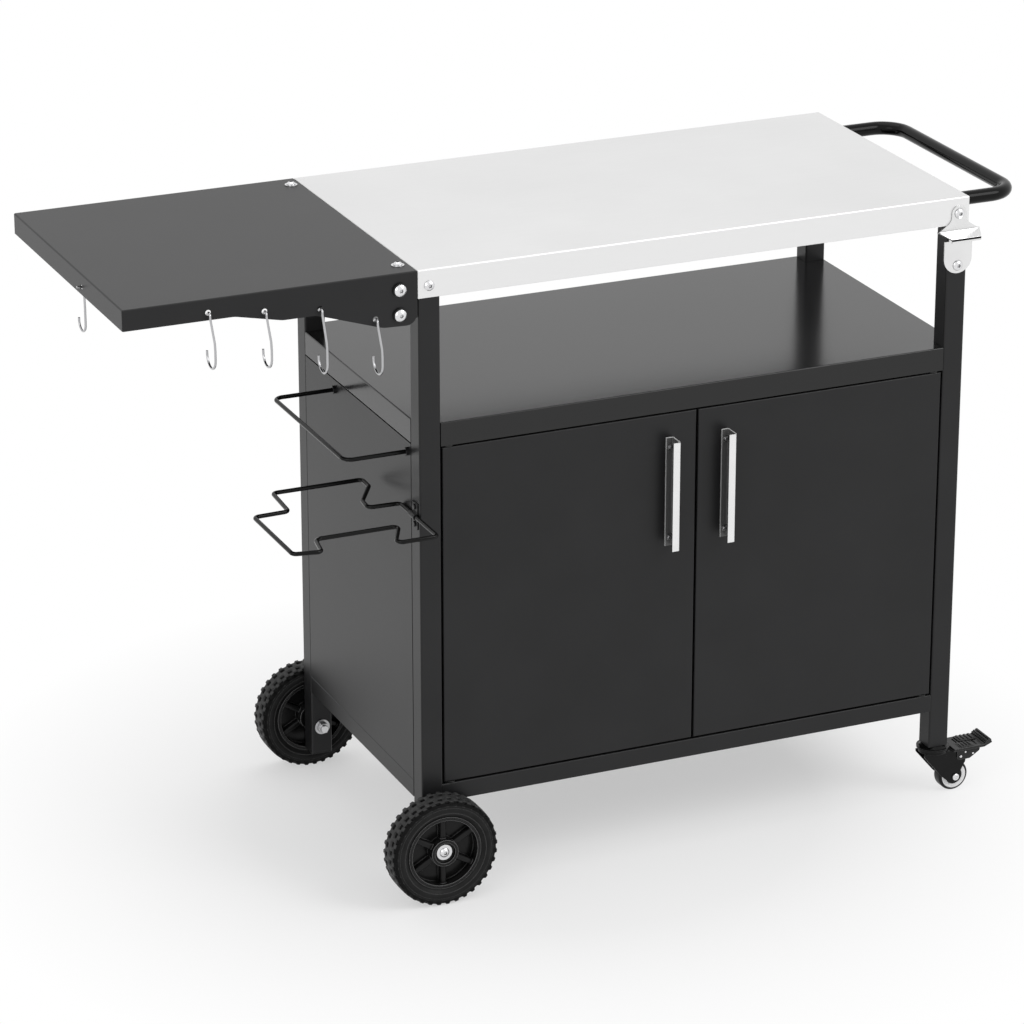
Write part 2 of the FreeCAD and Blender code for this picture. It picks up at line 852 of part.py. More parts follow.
def side_table_screws():
    """screws down through the table into its brackets, each on a thin washer"""
    screws = []
    for seat in table_screw_places():
        washer = rod(seat, Z, washer_thickness, washer_radius)
        screw = dome_screw(seat + Z * washer_thickness, Z, screw_length, screw_head_radius - 1)
        screws.append(joined(washer, screw))
    return group(screws)


def worktop_screws():
    """the screws through the worktop flange into the posts, but for the one of the opener"""
    return group([dome_screw(seat, outward, screw_length, screw_head_radius)
                  for index, (seat, outward) in enumerate(worktop_screw_places()) if index != 1])


def hook(drop):
    """a wire hook around its own hole: -Y is out of the sheet and +Y is behind it"""
    eye = hook_eye_radius
    eye_y = -eye * math.sin(math.radians(hook_hang))
    eye_z = -eye * math.cos(math.radians(hook_hang))
    shank_y = eye_y - eye
    low_y = shank_y - hook_lean
    low_z = hook_wire - drop
    bend = hook_bend_radius
    lean_start, lean_end = hook_lean_shares
    tail = math.radians(hook_tail_slope)
    crook = eye * math.tan(math.radians(45 + hook_tail_slope / 2))
    corner = vector(0, shank_y, eye_z + crook)
    tail_end = corner + vector(0, math.cos(tail), -math.sin(tail)) * (crook + hook_tail_length)
    points = [tail_end, corner, vector(0, shank_y, eye_z - hook_wire),
              vector(hook_side_lean, low_y + hook_wire, -drop * lean_start),
              vector(hook_side_lean, low_y, -drop * lean_end), vector(hook_side_lean, low_y, low_z),
              vector(hook_side_lean, low_y + 2 * bend, low_z),
              vector(hook_side_lean, low_y + 2 * bend, low_z + bend + hook_tip)]
    return bent_rod(points, [0, eye, 2 * eye, 2 * eye, 2 * eye, bend, bend, 0], hook_wire)


def front_hook(index):
    place, drop = hook_places()[index]
    shape = hook(drop)
    shape.translate(place)
    return shape


def side_hook():
    """the fifth hook: its tail stands out of the left flange, its shank hangs inside it"""
    eye = side_hook_eye
    bend = side_hook_bend
    drop = side_hook_drop
    shank_y = -2
    tip_y = shank_y + 2 * bend
    points = [vector(-side_hook_tail, 0, 1), vector(eye, 0, 0),
              vector(eye, shank_y, -drop * side_hook_shank_share),
              vector(eye, shank_y, -drop), vector(eye - 1, tip_y, -drop),
              vector(eye - 1, tip_y, -drop + bend + hook_tip)]
    shape = bent_rod(points, [0, eye, 2 * eye, bend, bend, 0], hook_wire)
    shape.translate(side_hook_hole())
    return shape


def towel_arm_places():
    return (front + towel_front_arm, front + towel_rear_arm)


def towel_rod():
    """the U-shaped holder for a paper roll, its two ends through the side panel"""
    z = top - towel_drop
    inside = post_left + panel_sheet + 12
    outer = left - towel_reach
    y_front, y_back = towel_arm_places()
    route = [vector(inside, y_front, z), vector(outer, y_front, z),
             vector(outer, y_back, z), vector(inside, y_back, z)]
    return bent_rod(route, towel_bend, rack_wire)


def towel_rod_nuts():
    """a nut on each side of the panel for each end of the rod"""
    nuts = []
    for y in towel_arm_places():
        bore = rod(vector(left - 20, y, top - towel_drop), X, 60, rack_wire + hole_fit)
        for x, way in ((post_left, -X), (post_left + panel_sheet, X)):
            nut = placed(hex_prism(nut_radius, nut_height), vector(x, y, top - towel_drop), way)
            nuts.append(nut.cut(bore))
    return group(nuts)


def bag_ring_points():
    """the loop's corners, as distances to the left of the post and behind the worktop's front"""
    wire_x = post_left - rack_wire
    near_bay, far_bay = ring_bay_out
    near_neck, far_neck = ring_neck_out
    corners = [(0, -ring_front), (0, ring_rear), (near_bay + 12, ring_rear + 2),
               (near_bay + 10, ring_side_rear - 2), (near_neck + 1, ring_neck_rear - 27),
               (near_neck, ring_neck_rear), (far_neck, ring_neck_rear), (far_neck + 4, ring_side_rear + 2),
               (ring_reach_out, ring_side_rear), (ring_reach_out, -ring_side_front),
               (far_bay + 14, -ring_side_front - 7), (far_bay + 7, -ring_bay_front - 5),
               (far_bay, -ring_bay_front), (near_bay, -ring_bay_front),
               (near_bay + 21, 11 - ring_front), (near_bay + 23, -ring_front)]
    return [vector(wire_x - out, front + along, top - ring_drop) for out, along in corners]


def bag_ring():
    return bent_ring(bag_ring_points(), ring_bend, rack_wire)


def clip_screw_places():
    z = top - ring_drop
    return [vector(post_left, front + post_centre, z + way * clip_screw_rise) for way in (-1, 1)]


def bag_ring_clip():
    """a saddle bent over the loop's inner bar, flat on the post above and below it"""
    z = top - ring_drop
    crest = rack_wire + clip_sheet
    wire_x = post_left - rack_wire
    y0 = front + post_centre - clip_width / 2
    height = clip_screw_rise + 6
    plate = box(post_left - clip_sheet, y0, z - height, post_left, y0 + clip_width, z + height)
    arch = rod(vector(wire_x, y0, z), Y, clip_width, crest)
    arch = joined(arch, box(wire_x, y0, z - crest, post_left, y0 + clip_width, z + crest))
    groove = rod(vector(wire_x, y0 - 1, z), Y, clip_width + 2, rack_wire)
    groove = joined(groove, box(wire_x, y0 - 1, z - rack_wire, post_left + 1, y0 + clip_width + 1,
                                z + rack_wire))
    beyond = box(post_left, y0 - 1, z - height, post_left + 10, y0 + clip_width + 1, z + height)
    holes = [screw_hole(seat, -X, 3, clip_screw_radius) for seat in clip_screw_places()]
    return joined(plate, arch).cut(groove).cut(beyond).cut(group(holes))


def bag_ring_screws():
    screws = []
    for place in clip_screw_places():
        seat = place - X * clip_sheet
        screws.append(joined(rod(seat, -X, clip_screw_head_height, clip_screw_head_radius),
                             rod(seat, X, clip_screw_length, clip_screw_radius)))
    return group(screws)


def opener_lower_seat():
    return vector(right - post_centre, post_front, top - opener_top_drop - opener_screw_spacing)


def bottle_opener():
    """one stamped piece: a screw lobe whose neck flares to a fold, a hood, a web and a plate"""
    x = right - post_centre
    sheet = opener_sheet
    z_screw = top - opener_top_drop
    z_fold = top - opener_fold_drop
    z_shoulder = top - opener_shoulder_drop
    neck = opener_neck_width / 2
    web = opener_web_width / 2
    half = opener_plate_width / 2
    z_round = top - opener_plate_end + half
    left_side = [(neck, z_screw), (neck, z_screw - opener_lobe_radius),
                 (opener_hood_width / 2, z_fold - sheet), (web, z_fold - sheet), (web, z_shoulder),
                 (half, z_shoulder), (half, z_round)]
    curves = [0, opener_neck_curve, 0, 0, 0, 1, 0]
    outline = [vector(x - across, front, z) for across, z in left_side]
    outline += [vector(x + across, front, z) for across, z in reversed(left_side)]
    blank = outline_face(outline, curves + curves[::-1]).extrude(-Y * sheet)
    ends = [rod(vector(x, front, z_screw), -Y, sheet, opener_lobe_radius),
            rod(vector(x, front, z_round), -Y, sheet, half)]
    mouth = box(x - opener_mouth_width / 2, front - sheet - 1, z_shoulder,
                x + opener_mouth_width / 2, front + 1, top - opener_mouth_drop)
    mouth = soften(mouth, opener_mouth_corner, lambda edge: edge.BoundBox.YLength > sheet)
    holes = [rod(vector(x, front + 1, z), -Y, sheet + 2, screw_radius + hole_fit)
             for z in (z_screw, z_screw - opener_screw_spacing)]
    return joined(blank.cut(mouth), *ends, *opener_hood(x, z_fold)).cut(group(holes))


def opener_hood(x, z_fold):
    """the sheet folded outwards and down along its upper edge, and the lip turned down from it"""
    far = front - opener_hood_reach
    flare = opener_hood_width / 2
    half_lip = opener_lip_width / 2
    z_lip = z_fold - opener_hood_fall
    roof = outline_face([vector(x - flare, front, z_fold), vector(x + flare, front, z_fold),
                         vector(x + half_lip, far, z_lip), vector(x - half_lip, far, z_lip)])
    lip = box(x - half_lip, far, z_lip - opener_sheet - opener_lip_fall,
              x + half_lip, far + opener_sheet, z_lip - opener_sheet / 2)
    return roof.extrude(Z * -opener_sheet), lip


def opener_screws():
    upper = vector(right - post_centre, front - opener_sheet, top - opener_top_drop)
    lower = opener_lower_seat() - Y * (worktop_sheet + opener_sheet)
    return group([dome_screw(seat, -Y, screw_length + 2, screw_head_radius) for seat in (upper, lower)])


def on_wheel(shape):
    """a shape made around the Z axis with +Z outward, put on the front wheel's axle"""
    return placed(shape, vector(axle_x, wheel_middle, axle_z), -Y)


def to_rear(shape):
    """the same piece on the other side of the cart"""
    return shape.mirror(Y * middle, Y)


def tread_cuts():
    """two staggered rows of pits around the tread, and a notch in each shoulder between the pits"""
    pitch = 360.0 / tread_pitches
    low = wheel_radius - tread_depth
    half = wheel_width / 2
    cuts = []
    for side in (-1, 1):
        pit_z = side * pit_offset
        pit = box(low, -pit_length / 2, pit_z - pit_width / 2,
                  wheel_radius + 1, pit_length / 2, pit_z + pit_width / 2)
        z0, z1 = sorted((side * (half - notch_width), side * (half + 1)))
        notch = box(low, -pit_length / 2, z0, wheel_radius + 1, pit_length / 2, z1)
        for index in range(tread_pitches):
            turn = pitch * (index + side / 4)
            for shape, angle in ((pit, turn), (notch, turn + pitch / 2)):
                copy = shape.copy()
                copy.rotate(ORIGIN, Z, angle)
                cuts.append(copy)
    return cuts


def tyre():
    """a solid rubber tyre with bulging sides and a tread of pits and notches"""
    half = wheel_width / 2
    bead = half - rim_lip - 2
    seat = rim_radius - rim_lip
    shoulder = half - tyre_shoulder + 2
    bulge = (rim_radius + wheel_radius) / 2
    corners = [vector(seat, 0, -bead), vector(seat, 0, bead), vector(rim_radius + 1, 0, bead),
               vector(wheel_radius, 0, shoulder), vector(wheel_radius, 0, -shoulder),
               vector(rim_radius + 1, 0, -bead)]
    edges = [Part.LineSegment(corners[0], corners[1]).toShape(),
             Part.LineSegment(corners[1], corners[2]).toShape(),
             Part.Arc(corners[2], vector(bulge, 0, half), corners[3]).toShape(),
             Part.LineSegment(corners[3], corners[4]).toShape(),
             Part.Arc(corners[4], vector(bulge, 0, -half), corners[5]).toShape(),
             Part.LineSegment(corners[5], corners[0]).toShape()]
    carcass = Part.Face(Part.Wire(edges)).revolve(ORIGIN, Z, 360)
    return on_wheel(carcass.cut(group(tread_cuts())))


def wheel_rim():
    """a moulded rim: barrel with lips, middle disc, hub, and spokes standing on the disc"""
    half = wheel_width / 2
    lip_z = half - 3.5
    seat = rim_radius - rim_lip
    barrel_z = half - 4.5
    inner = seat - rim_wall
    section = [vector(inner, 0, -lip_z), vector(rim_radius, 0, -lip_z), vector(rim_radius, 0, -barrel_z),
               vector(seat, 0, -barrel_z), vector(seat, 0, barrel_z), vector(rim_radius, 0, barrel_z),
               vector(rim_radius, 0, lip_z), vector(inner, 0, lip_z)]
    barrel = outline_face(section).revolve(ORIGIN, Z, 360)
    disc = rod(vector(0, 0, -wheel_disc / 2), Z, wheel_disc, inner + 1)
    hub = rod(vector(0, 0, -half), Z, half + hub_face, hub_radius)
    spokes = []
    for index in range(spoke_count):
        bar = box(hub_radius - 3, -spoke_width / 2, -spoke_depth / 2,
                  inner + 1, spoke_width / 2, spoke_depth / 2)
        bar = bar.makeFillet(spoke_round, [edge for edge in bar.Edges if edge.BoundBox.XLength > 5])
        bar.rotate(ORIGIN, Z, 360.0 / spoke_count * index + spoke_phase)
        spokes.append(bar)
    body = joined(barrel, disc, hub, *spokes)
    recess = rod(vector(0, 0, hub_face - hub_recess_depth), Z, half, hub_recess_radius)
    bore = rod(vector(0, 0, -wheel_width), Z, 2 * wheel_width, axle_radius + running_fit)
    return on_wheel(body.cut(recess).cut(bore))


def axle_bolts():
    """the bolts that the wheels turn on, each held by its head, a washer and a nut on the post"""
    washer_z = hub_face - hub_recess_depth + thrust_gap
    head_z = washer_z + axle_washer_thickness
    inner_z = -wheel_width / 2 - wheel_gap - post_width
    washer = rod(vector(0, 0, washer_z), Z, axle_washer_thickness, axle_washer_radius)
    length = head_z - inner_z + axle_washer_thickness + axle_nut_height + 3
    bolt = dome_screw(vector(0, 0, head_z), Z, length, axle_head_radius, axle_radius)
    front_bolt = on_wheel(joined(washer, bolt))
    return group([front_bolt, to_rear(front_bolt)])


def axle_nuts():
    """a washer and a nut for each axle bolt, on the post's inner face"""
    inner_z = -wheel_width / 2 - wheel_gap - post_width
    washer = rod(vector(0, 0, inner_z), -Z, axle_washer_thickness, axle_washer_radius)
    nut = hex_prism(axle_nut_radius, axle_nut_height)
    nut.translate(Z * (inner_z - axle_washer_thickness - axle_nut_height))
    bore = rod(vector(0, 0, inner_z - 20), Z, 30, axle_radius + hole_fit)
    front_nut = on_wheel(joined(washer, nut).cut(bore))
    return group([front_nut, to_rear(front_nut)])


def axle_spacers():
    """a sleeve between each post and its wheel's hub"""
    outer_z = -wheel_width / 2 - thrust_gap
    length = wheel_gap - thrust_gap
    sleeve = rod(vector(0, 0, outer_z - length), Z, length, spacer_radius)
    bore = rod(vector(0, 0, outer_z - length - 1), Z, length + 2, axle_radius + hole_fit)
    front_sleeve = on_wheel(sleeve.cut(bore))
    return group([front_sleeve, to_rear(front_sleeve)])


def caster_places():
    return (front + post_centre, back - post_centre)


def caster_sockets():
    """plugs driven into the posts' feet, each with the fixed race and the stem that carries the fork"""
    sockets = []
    inset = post_wall + sheet_fit
    half = post_width / 2
    race_z = caster_post_foot - caster_race_height
    stem_z = race_z - fork_crown_height - fork_sheet - 4
    middle_z = race_z + caster_race_height / 2
    for y in caster_places():
        plug = box(caster_x - half + inset, y - half + inset, caster_post_foot,
                   caster_x + half - inset, y + half - inset, caster_post_foot + caster_plug_height)
        axis = vector(caster_x, y, 0)
        ring = rod(axis + Z * race_z, Z, middle_z - race_z, caster_race_radius)
        collar = Part.makeCone(caster_race_radius - 3, half + 1, caster_post_foot - middle_z,
                               axis + Z * middle_z, Z)
        stem = rod(axis + Z * stem_z, Z, race_z - stem_z, caster_stem_radius)
        foot = rod(axis + Z * (stem_z - 2), Z, 2, caster_stem_foot)
        sockets.append(joined(plug, ring, collar, stem, foot))
    return group(sockets)


def fork_bed_z():
    """the underside of the fork's crown"""
    return caster_post_foot - caster_race_height - thrust_gap - fork_crown_height


def fork_half():
    """from the caster's middle plane to the inner face of a cheek"""
    return caster_wheel_width / 2 + fork_gap


def pedal_pivot(y):
    return vector(caster_x + pedal_pivot_reach, y, pedal_pivot_height)


def caster_fork(y):
    """a pressed steel fork: a round crown under the race and two cheeks down to the axle"""
    bed_z = fork_bed_z()
    half = fork_half()
    axle_z_here = caster_wheel_radius
    crown = rod(vector(caster_x, y, bed_z), Z, fork_crown_height, fork_crown_radius)
    deck = box(caster_x - fork_shoulder + 4, y - half - fork_sheet, bed_z - fork_sheet,
               caster_x + fork_crown_radius - 1, y + half + fork_sheet, bed_z)
    boss = fork_boss_radius
    shoulder = caster_x - fork_shoulder
    rear = caster_x + caster_trail - boss
    fore = caster_x + caster_trail + boss
    pivot_x = caster_x + pedal_pivot_reach
    low_z = axle_z_here - boss
    cheeks = []
    for y0 in (y - half - fork_sheet, y + half):
        outline = [vector(shoulder, y0, bed_z), vector(shoulder, y0, bed_z - boss / 2),
                   vector(rear - fork_skirt, y0, axle_z_here + boss / 2), vector(rear, y0, low_z),
                   vector(fore, y0, low_z), vector(fore, y0, axle_z_here + boss),
                   vector(pivot_x + fork_pivot_boss, y0, pedal_pivot_height - fork_pivot_boss),
                   vector(pivot_x + fork_pivot_boss, y0, pedal_pivot_height + fork_sheet),
                   vector(caster_x + fork_crown_radius, y0, bed_z)]
        radii = [1, 5, 8, 6, boss - 0.5, boss, boss - 2, boss - 3, boss / 2]
        cheeks.append(outline_face(outline, radii).extrude(Y * fork_sheet))
    body = joined(crown, deck, *cheeks)
    stem_hole = rod(vector(caster_x, y, 0), Z, caster_post_foot, caster_stem_radius + running_fit)
    foot_room = rod(vector(caster_x, y, 0), Z, bed_z - fork_sheet, caster_stem_foot + thrust_gap)
    across = 4 * half
    axle_hole = rod(vector(caster_x + caster_trail, y - across / 2, axle_z_here), Y, across,
                    caster_axle_radius + hole_fit)
    pivot_hole = rod(pedal_pivot(y) - Y * across / 2, Y, across, pedal_pin_radius + running_fit)
    return body.cut(stem_hole).cut(foot_room).cut(axle_hole).cut(pivot_hole)


def caster_wheel(y):
    """tyre and hub turned as one, with the hub's raised ring on both faces"""
    radius = caster_wheel_radius
    half = caster_wheel_width / 2
    ring_in, ring_out = caster_ring_radii
    face = half - 0.6
    sunk = half - caster_ring_relief
    edge = half - caster_tread_round
    side = [(0, half), (caster_hub_radius, half), (caster_hub_radius, sunk), (ring_in, sunk),
            (ring_in, face), (ring_out, face), (radius, edge)]
    points = [vector(r, 0, -z) for r, z in side] + [vector(r, 0, z) for r, z in reversed(side)]
    wheel = outline_face(points).revolve(ORIGIN, Z, 360)
    bore = rod(vector(0, 0, -half - 1), Z, caster_wheel_width + 2, caster_axle_radius + running_fit)
    return placed(wheel.cut(bore), vector(caster_x + caster_trail, y, radius), -Y)


def caster_axle(y):
    """the bolt through both cheeks, with a flat head in front and a nut behind"""
    half = fork_half() + fork_sheet
    start = vector(caster_x + caster_trail, y - half, caster_wheel_radius)
    shank = rod(start, Y, 2 * half, caster_axle_radius)
    head = rod(start, -Y, caster_axle_head_height, caster_axle_head)
    nut = placed(hex_prism(caster_axle_head, caster_axle_head_height + 1),
                 vector(start.x, y + half, start.z), Y)
    return joined(shank, head, nut)


def caster_pedal(y):
    """the brake pedal: a broad grooved plate with a raised end, on two cheeks outside the fork"""
    half = pedal_width / 2
    z_low = fork_bed_z() + thrust_gap
    x0 = caster_x + pedal_start
    x1 = caster_x + pedal_reach
    thick = pedal_thickness
    bend_x = x1 - pedal_end_length
    section = [vector(x0, y - half, z_low), vector(bend_x, y - half, z_low),
               vector(x1, y - half, z_low + pedal_end_rise),
               vector(x1 - 2, y - half, z_low + pedal_end_rise + thick),
               vector(bend_x - 1, y - half, z_low + thick), vector(x0, y - half, z_low + thick)]
    plate = outline_face(section, [0, 3, 1, 1, 3, 1]).extrude(Y * pedal_width)
    grooves = []
    side = half - pedal_groove_margin
    for index in range(pedal_grooves):
        x = x0 + pedal_groove_start + index * pedal_groove_pitch
        grooves.append(box(x, y - side, z_low + thick - pedal_groove_depth,
                           x + pedal_groove_width, y + side, z_low + thick + pedal_end_rise))
    pivot = pedal_pivot(y)
    inner = fork_half() + fork_sheet + pedal_cheek_gap
    outer = inner + pedal_cheek_sheet
    rear = pivot.x - pedal_cheek_rear
    fore = pivot.x + pedal_cheek_fore
    cheeks = []
    for y0 in (y - outer, y + inner):
        outline = [vector(rear, y0, z_low + 1), vector(rear, y0, pivot.z - pedal_cheek_rise),
                   vector(pivot.x + pedal_cheek_bend, y0, pivot.z - pedal_cheek_rise),
                   vector(fore, y0, pivot.z + pedal_cheek_rise), vector(fore, y0, z_low + 1)]
        cheeks.append(outline_face(outline, [0, 5, 5, 4, 0]).extrude(Y * pedal_cheek_sheet))
    rivet_length = pedal_rivet_rise + pedal_rivet_sink
    rivets = [rod(vector(caster_x + reach, y0, height), Y, rivet_length, pedal_rivet_radius)
              for y0 in (y - outer - pedal_rivet_rise, y + outer - pedal_rivet_sink)
              for reach, height in pedal_rivets]
    pin_start = fork_half() - pedal_pin_inset
    pin_end = outer + pedal_rivet_rise
    pins = [rod(pivot - Y * pin_end, Y, pin_end - pin_start, pedal_pin_radius),
            rod(pivot + Y * pin_start, Y, pin_end - pin_start, pedal_pin_radius)]
    return joined(plate, *cheeks, *rivets, *pins).cut(group(grooves))


def write_parts():
    os.makedirs("parts", exist_ok=True)
    front_tyre = tyre()
    front_rim = wheel_rim()
    shapes = {
        "post_front_left": post(-1, -1), "post_rear_left": post(-1, 1),
        "post_front_right": post(1, -1), "post_rear_right": post(1, 1),
        "post_caps": post_caps(),
        "worktop_tray": worktop_tray(), "worktop_stiffener": worktop_stiffener(),
        "worktop_screws": worktop_screws(),
        "push_handle": push_handle(), "push_handle_bolts": push_handle_bolts(),
        "side_table": side_table(), "side_table_brackets": side_table_brackets(),
        "side_table_spacers": side_table_spacers(), "side_table_bolts": side_table_bolts(),
        "side_table_screws": side_table_screws(),
        "cabinet_top": cabinet_top(), "cabinet_floor": cabinet_floor(),
        "side_panel_left": side_panel(-1), "side_panel_right": side_panel(1),
        "back_panel": back_panel(),
        "door_left": door(-1), "door_right": door(1),
        "door_handle_left": door_handle(-1), "door_handle_right": door_handle(1),
        "door_handle_screws_left": door_handle_screws(-1),
        "door_handle_screws_right": door_handle_screws(1),
        "door_pins_left": door_pins(-1), "door_pins_right": door_pins(1),
        "pivot_bushes": pivot_bushes(), "magnet_catches": magnet_catches(),
        "towel_rod": towel_rod(), "towel_rod_nuts": towel_rod_nuts(),
        "bag_ring": bag_ring(), "bag_ring_clip": bag_ring_clip(), "bag_ring_screws": bag_ring_screws(),
        "bottle_opener": bottle_opener(), "opener_screws": opener_screws(),
        "front_tyre": front_tyre, "rear_tyre": to_rear(front_tyre),
        "front_rim": front_rim, "rear_rim": to_rear(front_rim),
        "axle_bolts": axle_bolts(), "axle_nuts": axle_nuts(), "axle_spacers": axle_spacers(),
        "caster_sockets": caster_sockets(),
    }
    for index in range(len(hook_drops)):
        shapes[f"hook_{index + 1}"] = front_hook(index)
    shapes[f"hook_{len(hook_drops) + 1}"] = side_hook()
    for name, y in zip(("front", "rear"), caster_places()):
        shapes[f"{name}_caster_fork"] = caster_fork(y)
        shapes[f"{name}_caster_wheel"] = caster_wheel(y)
        shapes[f"{name}_caster_axle"] = caster_axle(y)
        shapes[f"{name}_caster_pedal"] = caster_pedal(y)
    for name, shape in shapes.items():
        shape.exportStep(os.path.join("parts", f"{name}.step"))
        print(name, len(shape.Solids), shape.isValid(), round(shape.Volume))


write_parts()
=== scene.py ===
import bmesh
import bpy
import json
import math
from mathutils import Matrix, Vector

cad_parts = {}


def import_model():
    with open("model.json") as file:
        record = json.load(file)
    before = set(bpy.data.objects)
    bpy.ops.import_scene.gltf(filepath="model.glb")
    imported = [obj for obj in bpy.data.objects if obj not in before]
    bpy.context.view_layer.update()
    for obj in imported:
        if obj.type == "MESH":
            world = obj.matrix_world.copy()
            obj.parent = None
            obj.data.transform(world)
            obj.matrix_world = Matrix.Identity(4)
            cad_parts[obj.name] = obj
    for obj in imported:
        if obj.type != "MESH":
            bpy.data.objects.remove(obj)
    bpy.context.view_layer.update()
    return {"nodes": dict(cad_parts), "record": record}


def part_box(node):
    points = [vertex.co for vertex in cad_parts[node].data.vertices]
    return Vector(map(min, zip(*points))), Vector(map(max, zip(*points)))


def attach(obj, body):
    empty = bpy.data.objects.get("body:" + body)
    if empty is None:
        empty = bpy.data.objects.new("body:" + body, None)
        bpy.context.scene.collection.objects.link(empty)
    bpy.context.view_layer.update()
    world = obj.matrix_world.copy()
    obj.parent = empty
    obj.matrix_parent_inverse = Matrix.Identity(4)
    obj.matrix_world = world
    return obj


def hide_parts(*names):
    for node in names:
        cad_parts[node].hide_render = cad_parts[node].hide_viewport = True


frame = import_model()
nodes = frame["nodes"]

# Hooks: sizes in metres that the pieces share with the solids
front_hook_names = ("hook_1", "hook_2", "hook_3", "hook_4")
wire = 0.0015
hook_eye = 0.0045
hook_cross = math.radians(34)
hook_tail = math.radians(36)
hook_tail_length = 0.014
hook_lean = 0.009
hook_lean_start = 0.48
hook_lean_end = 0.62
hook_side_lean = 0.0025
hook_bend = 0.0155
hook_tip = 0.003
side_hook_wire = 0.00148
side_hook_eye = 0.0035
side_hook_bend = 0.0116
side_hook_tail = 0.006
side_hook_tail_start = 0.0002
side_hook_rise = 0.001
side_hook_setback = 0.002
side_hook_twist = 0.001
side_hook_shank = 0.45

# Push handle and racks
push_radius = 0.0095
push_collar = 0.014
push_collar_length = 0.0025
push_collar_edge = 0.0006
push_bend = 0.038
rack_wire = 0.0029
towel_bend = 0.012
ring_bend = 0.007

# The bag ring's corners in millimetres: out from the post and back from the worktop's front
ring_corners = ((0, -66), (0, 63), (44, 65), (42, 90), (14, 137), (13, 164), (140, 164), (144, 94),
                (193, 92), (193, -49), (156, -56), (149, -17), (142, -12), (32, -12), (53, -55), (55, -66))

# Big wheels
tyre_radius = 0.076
tyre_width = 0.040
tread_pitches = 36
tread_steps = 12
tread_rows = 28
tread_drop = 0.0002
tread_crown = 0.0008
tread_fade = (0.0685, 0.0720)
cut_turns = (0.20, 0.10)
pit_depth = 0.0030
pit_offset = 0.0072
pit_across = (0.0030, 0.0012)
notch_depth = 0.0032
notch_across = (0.0125, 0.0145)
shoulder_inset = 0.0035
shoulder_radius = 0.0710
shoulder_out = 0.0045
shoulder_up = 0.0016

# The tyre's side wall from its bead outwards: radius and distance in from the side face
tyre_wall = ((0.0497, 0.0045), (0.0532, 0.0044), (0.0545, 0.0036), (0.0562, 0.0016), (0.0580, 0.0008),
             (0.0587, 0.0012), (0.0594, 0.0005), (0.0622, 0.0001), (0.0650, 0.0004), (0.0657, 0.0010),
             (0.0666, 0.0008), (0.0690, 0.0016))

# Casters; the rivets are given by their place along and up from the stem, and their radius in millimetres
caster_trail = 0.030
caster_ring = (0.0125, 0.0185)
caster_corner = 0.0030
caster_corner_out = 0.0029
caster_corner_inset = 0.0046
pedal_top = 0.0676
pedal_cheek_face = 0.0157
pedal_rivets = ((0.044, 0.059, 1.8), (0.056, 0.055, 1.8), (0.037, 0.053, 2.2))
near_rib_pitch = 5.2
far_rib_pitch = 6.2
end_rib_pitch = 4
end_rib_rise = 1.6
end_bar_tilt = 22

# Weld beads at the front posts
bead_length = 0.0235
bead_radius = 0.0011
bead_ripple = 0.00012
bead_rhythm = 2.1
bead_end = 0.0006
bead_lift = 0.0006
bead_inset = 0.0299
bead_steps = 36

# Zones that are painted in another colour, most of them painted light or shade, measured in from the piece's
# box or from the axle
handle_face = 0.0013
handle_free_edge = 0.002
handle_sheet_edge = 0.0009
handle_top_end = 0.0006
opener_fold_drop = 0.034
opener_front_face = 0.0006
opener_shade_low = 0.0080
opener_shade_high = 0.0054
shelf_front_face = 0.0006
worktop_top_face = 0.0012
tread_side = 0.0012
tread_top = 0.0018
pit_floor = 0.0690
no_limit = 1

Z = Vector((0, 0, 1))


# Materials: how far the gloss drifts, how dark the painted shade in recesses gets, and between which readings
# of the bevel and the occlusion a painted edge highlight or the painted shade of a recess fades in
gloss_drift = 0.12
crevice_shade = 0.12
edge_highlight_range = (0.80, 0.97)
recess_shade_range = (0.30, 0.80)


def grey(value):
    """a colour without a tint"""
    return (value, value, value)


class Graph:
    """the nodes of a material or of the world"""

    def __init__(self, tree):
        self.tree = tree

    def add(self, kind, **values):
        node = self.tree.nodes.new(kind)
        for key, value in values.items():
            setattr(node, key, value)
        return node

    def link(self, source, target):
        self.tree.links.new(source, target)

    def feed(self, value, socket):
        """a socket linked to another socket, or set to a plain value"""
        if hasattr(value, "links"):
            self.link(value, socket)
        else:
            socket.default_value = value

    def maths(self, operation, first, second):
        """one number from two; the second is a socket or a plain number"""
        node = self.add("ShaderNodeMath", operation=operation)
        self.link(first, node.inputs[0])
        self.feed(second, node.inputs[1])
        return node.outputs[0]

    def length(self, vector):
        node = self.add("ShaderNodeVectorMath", operation="LENGTH")
        self.link(vector, node.inputs[0])
        return node.outputs["Value"]

    def mixed(self, share, first, second):
        """two shaders mixed, the second by its share"""
        node = self.add("ShaderNodeMixShader")
        for source, socket in zip((share, first, second), node.inputs):
            self.link(source, socket)
        return node.outputs[0]


